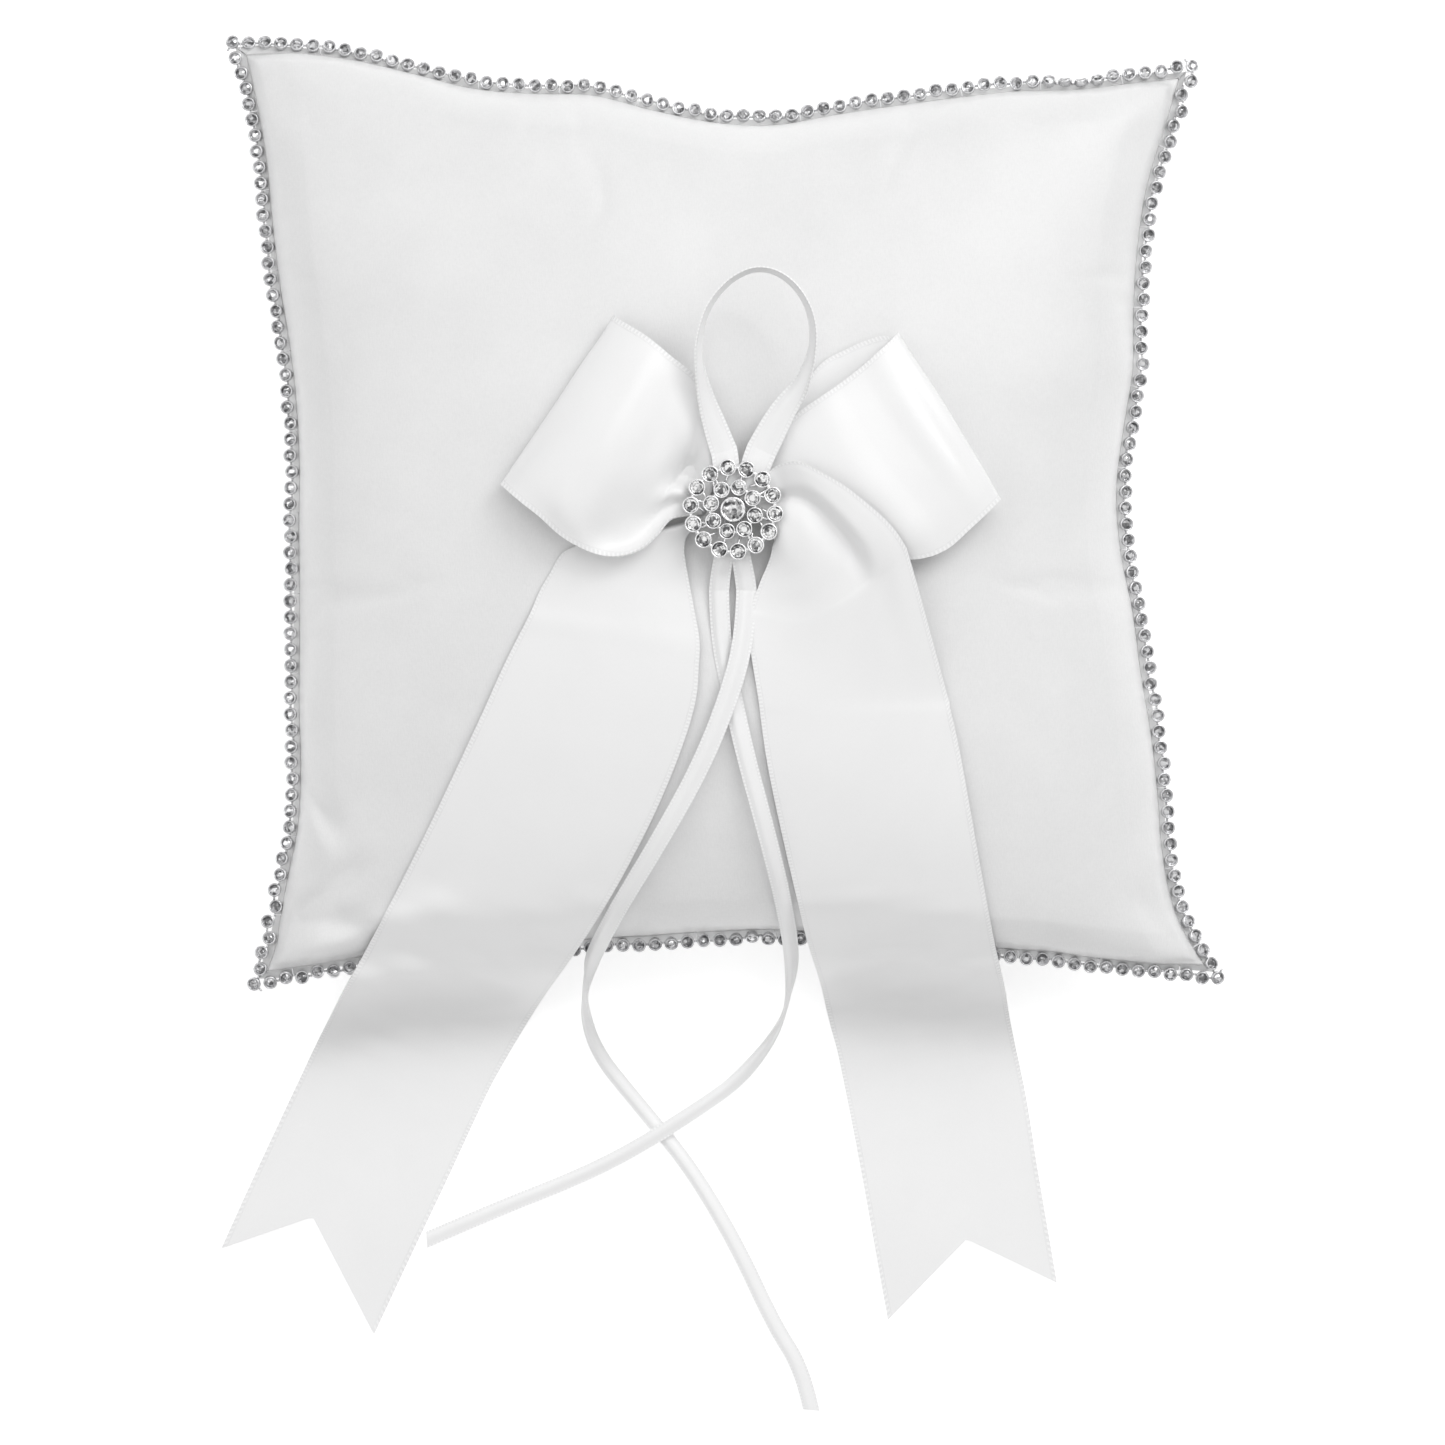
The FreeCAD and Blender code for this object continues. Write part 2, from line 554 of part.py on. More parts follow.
def loop_grid(under, over, gaps, lo_gap, tip, end_z, lift=0.0):
    rows = []
    m = 7
    for k, (a, b) in enumerate(under):
        row = []
        for j in range(m):
            w = j / (m - 1.0)
            x, y = a[0] + (b[0] - a[0]) * w, a[1] + (b[1] - a[1]) * w
            z = support_z(x, y) + 1.0 + lift
            if k == 0:
                z = 55.4
            row.append((x, y, z))
        rows.append(row)
    # end fold
    a, b = tip
    row = []
    for j in range(m):
        w = j / (m - 1.0)
        x, y = a[0] + (b[0] - a[0]) * w, a[1] + (b[1] - a[1]) * w
        row.append((x, y, support_z(x, y) + 1.0 + lift + gaps[0] / 2))
    rows.append(row)
    for k, (a, b) in enumerate(over):
        row = []
        for j in range(m):
            w = j / (m - 1.0)
            x, y = a[0] + (b[0] - a[0]) * w, a[1] + (b[1] - a[1]) * w
            bulge = math.sin(math.pi * w) ** 0.8
            g = lo_gap[k] + (gaps[k] - lo_gap[k]) * bulge
            z = support_z(x, y) + 1.0 + lift + g
            if k == len(over) - 1:
                z = end_z
            row.append((x, y, z))
        rows.append(row)
    cols = [catmull([row[j] for row in rows], 34) for j in range(m)]
    return [[cols[j][k] for j in range(m)] for k in range(35)]


g = loop_grid(LEFT_UNDER, LEFT_OVER, [5.0, 6.4, 8.6, 10.2, 9.4, 5.8, 2.6],
              [4.4, 4.8, 5.0, 5.0, 4.6, 3.4, 2.2], ((-47.4, 6.0), (-23.8, 40.9)), 57.6, lift=0.55)
put("bow_loop_left", sheet(g, WIDE_T))
g = loop_grid(RIGHT_UNDER, RIGHT_OVER, [4.8, 5.8, 6.8, 6.6, 5.4, 3.4, 1.8],
              [4.4, 4.2, 3.8, 3.4, 3.0, 2.4, 1.8], ((56.7, 3.1), (35.4, 37.3)), 56.9)
put("bow_loop_right", sheet(g, WIDE_T))

# ---------------------------------------------------------------- knot
centre = Part.makeCylinder(2.8, 11.0, V(KNOT_X - 5.5, KNOT_Y, KNOT_Z), V(1, 0, 0))
centre = centre.makeFillet(1.1, [e for e in centre.Edges if e.Length > 10])
put("bow_centre_gather", centre)
rings = [Part.makeTorus(3.02, 0.2, V(KNOT_X + d, KNOT_Y, KNOT_Z), V(1, 0, 0)) for d in (-1.6, -0.6, 0.5, 1.6)]
put("bow_tie_thread", group(rings))
# Stitches that hold the bow and the brooch down to the front panel.
posts = [Part.makeCylinder(0.2, 1.7, V(KNOT_X + dx, KNOT_Y + dy, 52.0), V(0, 0, 1)) for dx, dy in
         ((-4.4, 0.0), (-2.6, 0.0), (2.4, 0.0), (4.2, 0.0))]
put("bow_stitches", group(posts))

# ---------------------------------------------------------------- narrow ribbon
anchor = []
for x0, x1, xb in ((-1.3, -1.9, -1.9), (7.9, 3.9, 3.9)):
    path = []
    for y, z in ((LOOP_HINGE_Y - 0.4, 59.9), (9.0, 59.88), (5.0, 59.88), (1.0, 59.88), (-4.0, 59.86), (-8.5, 59.6),
                 (-11.5, 58.3), (-13.8, 56.9), (HINGE_Y + HINGE_GAP, 56.25)):
        w = fade(-y, -LOOP_HINGE_Y, 9.0)
        x = x0 + (xb - x0) * w
        path.append([(x - 1.7, y, z), (x, y, z + 0.001), (x + 1.7, y, z)])
    anchor.append(sheet(path, 0.4))
put("ring_ribbon_centre", group(anchor))


def run_tube(points, d, label):
    """Straight runs joined by tangent arcs, as large as the runs allow."""
    p = [V(*q) for q in points]
    edges, start, radii = [], p[0], []
    total = 0.0
    for i in range(1, len(p) - 1):
        a, b, c = p[i - 1], p[i], p[i + 1]
        u, w = (a - b), (c - b)
        short = min(u.Length, w.Length)
        u.normalize()
        w.normalize()
        cut = 0.45 * short
        turn = math.pi - u.getAngle(w)
        r = cut / math.tan(turn / 2)
        radii.append((round(r, 1), round(math.degrees(turn))))
        s, e = b + u * cut, b + w * cut
        bis = u + w
        bis.normalize()
        mid = b + bis * (math.sqrt(r * r + cut * cut) - r)
        edges.append(Part.LineSegment(start, s).toShape())
        edges.append(Part.Arc(s, mid, e).toShape())
        start = e
    edges.append(Part.LineSegment(start, p[-1]).toShape())
    wire = Part.Wire(edges)
    t = (p[1] - p[0])
    profile = Part.Wire([Part.makeCircle(d / 2, p[0], t)])
    shape = wire.makePipeShell([profile], True, False)
    solid = shape.Solids[0]
    want = math.pi * d * d / 4 * wire.Length
    print(label, "length %.1f, radii %s, volume %.1f of %.1f" % (wire.Length, radii, solid.Volume, want))
    return solid


put("ring_tie_a", run_tube(TIE_A, NARROW_D, "tie a"))
put("ring_tie_b", run_tube(TIE_B, NARROW_D, "tie b"))
put("ring_loop", run_tube(RING_LOOP, NARROW_D, "ring loop"))

# ---------------------------------------------------------------- brooch


def cup_at(x, y, r, bore, h, deep):
    c = Part.makeCylinder(r, h, V(x, y, BROOCH_Z))
    return c, Part.makeCylinder(bore, deep, V(x, y, BROOCH_Z + h - deep))


def annulus(r, w, h, z):
    return Part.makeCylinder(r + w / 2, h, V(KNOT_X, KNOT_Y, z)).cut(
        Part.makeCylinder(r - w / 2, h, V(KNOT_X, KNOT_Y, z)))


solids = [annulus(OUTER_RING_R, 1.0, 0.8, BROOCH_Z), annulus(INNER_RING_R, 0.9, 0.8, BROOCH_Z)]
holes = []
outer_xy = [(KNOT_X + OUTER_RING_R * math.cos(math.radians(97 - 360.0 / OUTER_N * k)),
             KNOT_Y + OUTER_RING_R * math.sin(math.radians(97 - 360.0 / OUTER_N * k))) for k in range(OUTER_N)]
inner_xy = [(KNOT_X + INNER_RING_R * math.cos(math.radians(75 - 360.0 / INNER_N * k)),
             KNOT_Y + INNER_RING_R * math.sin(math.radians(75 - 360.0 / INNER_N * k))) for k in range(INNER_N)]
for x, y in outer_xy:
    c, h = cup_at(x, y, SMALL_CUP_R, SMALL_STONE_R + 0.04, 1.9, 1.1)
    solids.append(c)
    holes.append(h)
for x, y in inner_xy:
    c, h = cup_at(x, y, SMALL_CUP_R, SMALL_STONE_R + 0.04, 2.3, 1.1)
    solids.append(c)
    holes.append(h)
c, h = cup_at(KNOT_X, KNOT_Y, CENTRE_CUP_R, CENTRE_STONE_R + 0.04, 2.9, 1.7)
solids.append(c)
holes.append(h)
for k in range(8):
    a = 75 - 45.0 * k
    spoke = Part.makeBox(6.8, 0.6, 0.8, V(2.0, -0.3, 0))
    spoke.Placement = FreeCAD.Placement(V(KNOT_X, KNOT_Y, BROOCH_Z), FreeCAD.Rotation(V(0, 0, 1), a))
    solids.append(spoke)
frame = solids[0].multiFuse(solids[1:]).removeSplitter()
frame = frame.cut(Part.makeCompound(holes))
frame = max(frame.Solids, key=lambda s: s.Volume)
put("brooch_frame", frame)


def gem(r, top, x, y, z):
    """Round-cut stone: pavilion, girdle, crown. z is the floor of its cup."""
    pav = Part.makeCone(0.12 * r, r, top * 0.62, V(x, y, z))
    gir = Part.makeCylinder(r, top * 0.08, V(x, y, z + top * 0.62))
    cro = Part.makeCone(r, 0.56 * r, top * 0.30, V(x, y, z + top * 0.70))
    return pav.fuse([gir, cro]).removeSplitter()


put("brooch_outer_stones", group([gem(SMALL_STONE_R, 1.55, x, y, BROOCH_Z + 0.8) for x, y in outer_xy]))
put("brooch_inner_stones", group([gem(SMALL_STONE_R, 1.55, x, y, BROOCH_Z + 1.2) for x, y in inner_xy]))
put("brooch_centre_stone", gem(CENTRE_STONE_R, 2.6, KNOT_X, KNOT_Y, BROOCH_Z + 1.2))
# Sewing bar under the brooch, and the thread that goes through it.
bar = Part.makeBox(2.0, 1.0, 0.45, V(KNOT_X - 0.7, KNOT_Y - 0.5, BROOCH_Z - 0.45))
put("brooch_sewing_bar", bar)
print("nodes", len(made))
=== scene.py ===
import bpy
import bmesh
import math
import random
import numpy as np
from mathutils import Vector, Matrix, Quaternion
from mathutils.bvhtree import BVHTree


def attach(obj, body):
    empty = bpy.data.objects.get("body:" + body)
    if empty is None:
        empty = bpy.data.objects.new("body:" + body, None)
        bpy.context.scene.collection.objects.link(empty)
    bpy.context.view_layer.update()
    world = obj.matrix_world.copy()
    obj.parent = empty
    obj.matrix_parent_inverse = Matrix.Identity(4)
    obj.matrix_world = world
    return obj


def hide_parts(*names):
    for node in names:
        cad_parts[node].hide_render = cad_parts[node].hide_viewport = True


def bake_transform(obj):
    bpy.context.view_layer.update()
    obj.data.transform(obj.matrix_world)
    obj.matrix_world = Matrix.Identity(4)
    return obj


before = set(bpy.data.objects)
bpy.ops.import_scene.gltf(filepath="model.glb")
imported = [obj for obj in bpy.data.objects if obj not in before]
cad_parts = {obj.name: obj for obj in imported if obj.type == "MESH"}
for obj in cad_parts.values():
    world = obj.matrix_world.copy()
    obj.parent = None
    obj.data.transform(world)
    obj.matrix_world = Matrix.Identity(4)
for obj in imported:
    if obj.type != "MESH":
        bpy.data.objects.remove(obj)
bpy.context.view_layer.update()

MM = 0.001
scene = bpy.context.scene

# ------------------------------------------------------------------ camera
cam_data = bpy.data.cameras.new("camera")
cam_data.type = "PERSP"
cam_data.sensor_width = 36.0
cam_data.lens = 171.87
cam_data.clip_start = 0.05
cam_data.clip_end = 10.0
cam = bpy.data.objects.new("camera", cam_data)
scene.collection.objects.link(cam)
cam.location = (-0.00118, -0.04375, 1.5)
cam.rotation_euler = (0.0, 0.0, 0.0)
scene.camera = cam

# ------------------------------------------------------------------ materials


class Mat:
    """Small helper for procedural node materials."""

    def __init__(self, name):
        self.m = bpy.data.materials.new(name)
        self.m.use_nodes = True
        self.nt = self.m.node_tree
        self.p = self.nt.nodes["Principled BSDF"]

    def set(self, **kw):
        names = {"color": "Base Color", "rough": "Roughness", "metal": "Metallic", "ior": "IOR",
                 "spec": "Specular IOR Level", "sheen": "Sheen Weight", "sheen_rough": "Sheen Roughness",
                 "trans": "Transmission Weight", "coat": "Coat Weight", "coat_rough": "Coat Roughness",
                 "sss": "Subsurface Weight", "sss_scale": "Subsurface Scale", "aniso": "Anisotropic",
                 "emit": "Emission Strength", "emit_color": "Emission Color", "alpha": "Alpha"}
        for k, v in kw.items():
            s = self.p.inputs[names[k]]
            if hasattr(s.default_value, "__len__") and len(s.default_value) == 4:
                v = (*v, 1.0)
            s.default_value = v
        return self

    def node(self, kind, **kw):
        n = self.nt.nodes.new(kind)
        for k, v in kw.items():
            setattr(n, k, v)
        return n

    def link(self, a, b):
        self.nt.links.new(a, b)

    def object_mm(self):
        """Object coordinates in millimetres."""
        t = self.node("ShaderNodeTexCoord")
        s = self.node("ShaderNodeVectorMath", operation="SCALE")
        s.inputs["Scale"].default_value = 1000.0
        self.link(t.outputs["Object"], s.inputs[0])
        return s.outputs[0]

    def uv(self, name):
        n = self.node("ShaderNodeUVMap")
        n.uv_map = name
        return n.outputs["UV"]

    def noise(self, vec, scale, detail=2.0, rough=0.5, dist=0.0):
        n = self.node("ShaderNodeTexNoise")
        n.inputs["Scale"].default_value = scale
        n.inputs["Detail"].default_value = detail
        n.inputs["Roughness"].default_value = rough
        n.inputs["Distortion"].default_value = dist
        self.link(vec, n.inputs["Vector"])
        return n.outputs["Fac"]

    def mapping(self, vec, scale=(1, 1, 1), rot=(0, 0, 0)):
        n = self.node("ShaderNodeMapping")
        n.inputs["Scale"].default_value = scale
        n.inputs["Rotation"].default_value = rot
        self.link(vec, n.inputs["Vector"])
        return n.outputs[0]

    def math(self, op, a, b=None):
        n = self.node("ShaderNodeMath", operation=op)
        for i, x in enumerate((a, b)):
            if x is None:
                continue
            if isinstance(x, (int, float)):
                n.inputs[i].default_value = x
            else:
                self.link(x, n.inputs[i])
        return n.outputs[0]

    def ramp(self, fac, stops):
        n = self.node("ShaderNodeValToRGB")
        e = n.color_ramp.elements
        e[0].position, e[0].color = stops[0][0], (*stops[0][1], 1)
        e[1].position, e[1].color = stops[-1][0], (*stops[-1][1], 1)
        for pos, c in stops[1:-1]:
            x = e.new(pos)
            x.color = (*c, 1)
        self.link(fac, n.inputs[0])
        return n.outputs[0]

    def span(self, fac, lo, hi):
        n = self.node("ShaderNodeMapRange")
        n.inputs["To Min"].default_value = lo
        n.inputs["To Max"].default_value = hi
        self.link(fac, n.inputs[0])
        return n.outputs[0]

    def bump(self, height, strength, distance):
        n = self.node("ShaderNodeBump")
        n.inputs["Strength"].default_value = strength
        n.inputs["Distance"].default_value = distance
        self.link(height, n.inputs["Height"])
        self.link(n.outputs[0], self.p.inputs["Normal"])
        return n


def satin(name, base, dark, rough, weave_uv=None, pitch=0.42, weave=0.25, selvedge=None, sheen=0.25):
    """White polyester satin. The face shows long floats in a fine diagonal grain."""
    m = Mat(name)
    m.set(rough=rough, spec=0.5, sheen=sheen, sheen_rough=0.45, ior=1.5)
    vec = m.uv(weave_uv) if weave_uv else m.object_mm()
    # floats of the weave: short fine streaks along one direction, staggered by row
    s1 = m.noise(m.mapping(vec, (1.0 / pitch * 2.2, 1.0 / pitch * 0.55, 1.0), (0, 0, math.radians(38))), 1.0, 2.0, 0.55)
    s2 = m.noise(m.mapping(vec, (1.0 / pitch * 0.5, 1.0 / pitch * 2.0, 1.0), (0, 0, math.radians(-24))), 1.0, 1.0, 0.5)
    slow = m.noise(vec, 0.055, 3.0, 0.55)
    grain = m.math("ADD", m.math("MULTIPLY", s1, 0.7), m.math("MULTIPLY", s2, 0.3))
    mix = m.math("ADD", m.math("MULTIPLY", grain, 0.55), m.math("MULTIPLY", slow, 0.45))
    height = grain
    if selvedge:
        # woven edge: tiny picot ticks in a narrow band along each side, with a sunk line just inside them. The raised
        # ticks are painted lighter, a painted highlight; the sunk line is painted darker, painted shade; the whole band
        # is painted a little darker.
        w = selvedge
        sep = m.node("ShaderNodeSeparateXYZ")
        m.link(vec, sep.inputs[0])
        d0 = m.math("MINIMUM", sep.outputs[0], m.math("SUBTRACT", w, sep.outputs[0]))
        band = m.math("LESS_THAN", d0, 0.75)
        tick = m.math("SINE", m.math("MULTIPLY", sep.outputs[1], 2 * math.pi / 0.82), None)
        tick = m.math("MULTIPLY", m.math("GREATER_THAN", tick, 0.1), band)
        inner = m.math("MULTIPLY", m.math("LESS_THAN", m.math("ABSOLUTE", m.math("SUBTRACT", d0, 0.95), None), 0.14), 1.0)
        height = m.math("ADD", m.math("MULTIPLY", grain, 0.5), m.math("MULTIPLY", tick, 1.6))
        height = m.math("SUBTRACT", height, m.math("MULTIPLY", inner, 0.8))
        # painted highlight on the raised ticks, a darker edge band, and painted shade along the sunk line
        mix = m.math("ADD", mix, m.math("MULTIPLY", tick, 0.55))
        mix = m.math("SUBTRACT", mix, m.math("MULTIPLY", band, 0.26))
        mix = m.math("SUBTRACT", mix, m.math("MULTIPLY", inner, 0.22))
    low, high = tuple(c * 0.84 for c in dark), tuple(min(0.97, c * 1.06) for c in base)
    m.link(m.ramp(mix, [(0.0, low), (0.30, dark), (0.62, base), (1.0, high)]), m.p.inputs["Base Color"])
    m.link(m.span(slow, rough - 0.05, rough + 0.06), m.p.inputs["Roughness"])
    m.bump(height, weave, 0.00012)
    return m.m


MAT_CUSHION = satin("pillow_satin", (0.825, 0.825, 0.825), (0.762, 0.762, 0.763), 0.44, None, 0.55, 0.30, None, 0.30)
MAT_BACK = satin("pillow_satin_back", (0.805, 0.805, 0.805), (0.770, 0.770, 0.771), 0.44, None, 0.55, 0.30, None, 0.30)
MAT_WIDE = satin("wide_ribbon_satin", (0.895, 0.895, 0.895), (0.862, 0.862, 0.863), 0.34, "weave", 0.40, 0.16, 38.0, 0.20)
MAT_NARROW = satin("narrow_ribbon_satin", (0.905, 0.905, 0.905), (0.868, 0.868, 0.869), 0.34, "weave", 0.40, 0.16, 6.4, 0.20)


def thread_mat(name):
    m = Mat(name)
    m.set(rough=0.6, sheen=0.2)
    v = m.object_mm()
    n = m.noise(m.mapping(v, (6, 6, 6)), 1.0, 2.0)
    m.link(m.ramp(n, [(0.35, (0.78, 0.78, 0.79)), (0.65, (0.90, 0.90, 0.91))]), m.p.inputs["Base Color"])
    m.bump(n, 0.3, 0.0001)
    return m.m


def metal_mat(name, lo, hi, rough):
    m = Mat(name)
    m.set(metal=1.0, rough=rough)
    v = m.object_mm()
    n = m.noise(v, 0.9, 3.0)
    f = m.noise(m.mapping(v, (7, 7, 7)), 1.0, 2.0)
    m.link(m.ramp(n, [(0.3, lo), (0.7, hi)]), m.p.inputs["Base Color"])
    m.link(m.span(f, rough - 0.05, rough + 0.10), m.p.inputs["Roughness"])
    m.bump(f, 0.08, 0.0001)
    return m.m


def crystal_mat(name, dark, light, rough=0.05, spec=0.9):
    """Foil-backed stone with a clear polished face. Its colour is painted reflection: bright and dark patches stand for
    facets catching the light or not.
    """
    m = Mat(name)
    m.set(rough=rough, metal=0.75, ior=1.6, coat=1.0, coat_rough=0.03)
    v = m.object_mm()
    vo = m.node("ShaderNodeTexVoronoi")
    vo.inputs["Scale"].default_value = 1.15
    m.link(v, vo.inputs["Vector"])
    n = m.noise(v, 1.4, 1.0)
    facet_reflection_mix = m.math("ADD", m.math("MULTIPLY", vo.outputs["Color"], 0.6), m.math("MULTIPLY", n, 0.4))
    # painted reflection: the patches ramp from a painted dark facet tone to a painted bright glint tone
    m.link(m.ramp(facet_reflection_mix, [(0.34, dark), (0.45, tuple(0.45 * (a + b) for a, b in zip(dark, light))), (0.56, light)]),
           m.p.inputs["Base Color"])
    return m.m


def fibre_mat(name):
    m = Mat(name)
    m.set(rough=0.9, sheen=0.6)
    v = m.object_mm()
    n = m.noise(v, 0.35, 6.0, 0.7, 1.5)
    m.link(m.ramp(n, [(0.3, (0.80, 0.80, 0.80)), (0.7, (0.93, 0.93, 0.92))]), m.p.inputs["Base Color"])
    m.bump(n, 0.8, 0.002)
    return m.m


MAT_THREAD = thread_mat("sewing_thread")
MAT_TRIM = metal_mat("trim_setting_metal", (0.50, 0.50, 0.51), (0.82, 0.82, 0.83), 0.24)
MAT_BROOCH = metal_mat("brooch_plating", (0.84, 0.84, 0.85), (0.98, 0.98, 0.98), 0.22)
# the dark and light tones of both stones are painted shade and painted glints of their facets
MAT_STONE = crystal_mat("trim_crystal", (0.15, 0.15, 0.155), (0.74, 0.74, 0.75))
MAT_GEM = crystal_mat("brooch_crystal", (0.13, 0.13, 0.135), (0.99, 0.99, 0.99))
MAT_FIBRE = fibre_mat("polyester_fibre")

# ------------------------------------------------------------------ curves


def catmull(points, n):
    """n+1 points along a smooth line through the given ones, evenly by length."""
    p = np.asarray(points, float)
    p = np.vstack([2 * p[0] - p[1], p, 2 * p[-1] - p[-2]])
    t = (np.arange(12) / 12.0)[:, None]
    out = []
    for i in range(1, len(p) - 2):
        a, b, c, d = p[i - 1], p[i], p[i + 1], p[i + 2]
        out.append(0.5 * (2 * b + (c - a) * t + (2 * a - 5 * b + 4 * c - d) * t * t + (3 * b - a - 3 * c + d) * t ** 3))
    dense = np.vstack(out + [p[-2][None]])
    return even(dense, n)


def even(dense, n):
    dense = np.asarray(dense, float)
    run = np.concatenate([[0], np.cumsum(np.linalg.norm(np.diff(dense, axis=0), axis=1))])
    s = np.linspace(0, run[-1], n + 1)
    return np.stack([np.interp(s, run, dense[:, k]) for k in range(dense.shape[1])], axis=1)


def fade(x, a, b):
    t = np.clip((np.asarray(x, float) - a) / (b - a), 0, 1)
    return t * t * (3 - 2 * t)


def smooth_net(net, rows, cols):
    """Fine grid through a coarse net of points, even along both ways."""
    net = np.asarray(net, float)
    across = np.stack([catmull(r, cols) for r in net])              # coarse rows, fine columns
    return np.stack([catmull(across[:, j], rows) for j in range(cols + 1)], axis=1)


# ------------------------------------------------------------------ mesh helpers


def new_object(name, verts, faces, mat, uv=None, smooth=True):
    """verts in millimetres. uv: one (u, v) per vertex, in millimetres."""
    me = bpy.data.meshes.new(name)
    me.from_pydata([tuple(v) for v in np.asarray(verts, float) * MM], [], [tuple(f) for f in faces])
    me.update()
    if smooth:
        me.polygons.foreach_set("use_smooth", [True] * len(me.polygons))
    if uv is not None:
        layer = me.uv_layers.new(name="weave")
        loops = np.empty(len(me.loops), dtype=np.int32)
        me.loops.foreach_get("vertex_index", loops)
        layer.data.foreach_set("uv", np.asarray(uv, float)[loops].astype(np.float32).ravel())
    me.materials.append(mat)
    me.validate()
    ob = bpy.data.objects.new(name, me)
    scene.collection.objects.link(ob)
    return ob


def normals_of(g):
    a = np.empty_like(g)
    a[1:-1] = g[2:] - g[:-2]
    a[0] = g[1] - g[0]
    a[-1] = g[-1] - g[-2]
    b = np.empty_like(g)
    b[:, 1:-1] = g[:, 2:] - g[:, :-2]
    b[:, 0] = g[:, 1] - g[:, 0]
    b[:, -1] = g[:, -1] - g[:, -2]
    n = np.cross(a, b)
    return n / np.maximum(np.linalg.norm(n, axis=2, keepdims=True), 1e-9)


def cloth_solid(name, g, t, mat, uv_w=None, edge=1.0):
    """Closed thin sheet about a grid of points: two faces and four sides, with a fuller woven edge."""
    n, m = g.shape[:2]
    nn = normals_of(g)
    w = np.ones((n, m, 1))
    w[:, 0] = w[:, -1] = edge
    hi, lo = g + nn * t / 2 * w, g - nn * t / 2 * w
    verts = np.concatenate([hi.reshape(-1, 3), lo.reshape(-1, 3)])
    k = n * m
    idx = np.arange(k).reshape(n, m)
    a, b, c, d = idx[:-1, :-1].ravel(), idx[1:, :-1].ravel(), idx[1:, 1:].ravel(), idx[:-1, 1:].ravel()
    faces = [tuple(q) for q in np.stack([a, b, c, d], 1)] + [tuple(q) for q in np.stack([a + k, d + k, c + k, b + k], 1)]
    rim = list(idx[0, :]) + list(idx[1:, -1]) + list(idx[-1, -2::-1]) + list(idx[-2:0:-1, 0])
    for i in range(len(rim)):
        p, q = rim[i], rim[(i + 1) % len(rim)]
        faces.append((p, q, q + k, p + k))
    along = np.concatenate([[0], np.cumsum(np.linalg.norm(np.diff(g[:, m // 2], axis=0), axis=1))])
    step = np.linalg.norm(np.diff(g, axis=1), axis=2)
    if uv_w is None:
        cross = np.concatenate([np.zeros((n, 1)), np.cumsum(step, axis=1)], axis=1)
    else:
        cross = np.repeat(np.linspace(0, uv_w, m)[None], n, 0)
    uv = np.stack([cross, np.repeat(along[:, None], m, 1)], 2).reshape(-1, 2)
    ob = new_object(name, verts, faces, mat, np.concatenate([uv, uv]))
    ob.data.set_sharp_from_angle(angle=math.radians(50))
    return ob


# ------------------------------------------------------------------ narrow ribbon: ties and ring loop
# Routes in metres. They are control points of the cord's own spline.
TIE_A_M = [
    (0.00390, -0.01610, 0.05620), (0.00360, -0.02500, 0.05660), (0.00090, -0.03650, 0.05700), (-0.00548, -0.05266, 0.05520),
    (-0.01494, -0.06949, 0.05120), (-0.02520, -0.08620, 0.03950), (-0.03160, -0.09960, 0.01550), (-0.02990, -0.11381, 0.00110),
    (-0.01911, -0.12708, 0.00090), (-0.00824, -0.14011, 0.00090), (0.00197, -0.15728, 0.00090), (0.01001, -0.17466, 0.00090),
    (0.01631, -0.18444, 0.00090), (0.01827, -0.19378, 0.00090)]
TIE_B_M = [
    (-0.00190, -0.01610, 0.05620), (-0.00180, -0.02500, 0.05560), (0.00060, -0.03700, 0.05490), (0.00374, -0.05100, 0.05440),
    (0.00796, -0.06634, 0.05160), (0.01190, -0.08200, 0.04250), (0.01430, -0.09700, 0.01900), (0.01200, -0.10960, 0.00130),
    (0.00306, -0.12100, 0.00090), (-0.00606, -0.12742, 0.00270), (-0.02126, -0.13697, 0.00270), (-0.03388, -0.14315, 0.00090),
    (-0.04952, -0.14924, 0.00090), (-0.06604, -0.15641, 0.00090)]
RING_LOOP_M = [
    (-0.00130, 0.01270, 0.06000), (-0.00360, 0.01960, 0.06090), (-0.00550, 0.02760, 0.06230), (-0.00620, 0.03540, 0.06360),
    (-0.00420, 0.04280, 0.06480), (0.00080, 0.04860, 0.06560), (0.00690, 0.05090, 0.06590), (0.01300, 0.04820, 0.06580),
    (0.01720, 0.04180, 0.06520), (0.01770, 0.03400, 0.06420), (0.01520, 0.02660, 0.06300), (0.01160, 0.02020, 0.06150),
    (0.00790, 0.01270, 0.06000)]


def route_points(name, route):
    """The smooth line of a route, read from its own NURBS spline."""
    cu = bpy.data.curves.new(name + "_line", "CURVE")
    cu.dimensions = "3D"
    cu.resolution_u = 16
    sp = cu.splines.new("NURBS")
    sp.points.add(len(route) - 1)
    for q, p in zip(sp.points, route):
        q.co = (*p, 1.0)
    sp.order_u = 3
    sp.use_endpoint_u = True
    ob = bpy.data.objects.new(name + "_line", cu)
    scene.collection.objects.link(ob)
    dg = bpy.context.evaluated_depsgraph_get()
    me = bpy.data.meshes.new_from_object(ob.evaluated_get(dg))
    pts = np.array([v.co[:] for v in me.vertices]) * 1000.0
    bpy.data.objects.remove(ob)
    bpy.data.curves.remove(cu)
    bpy.data.meshes.remove(me)
    return pts


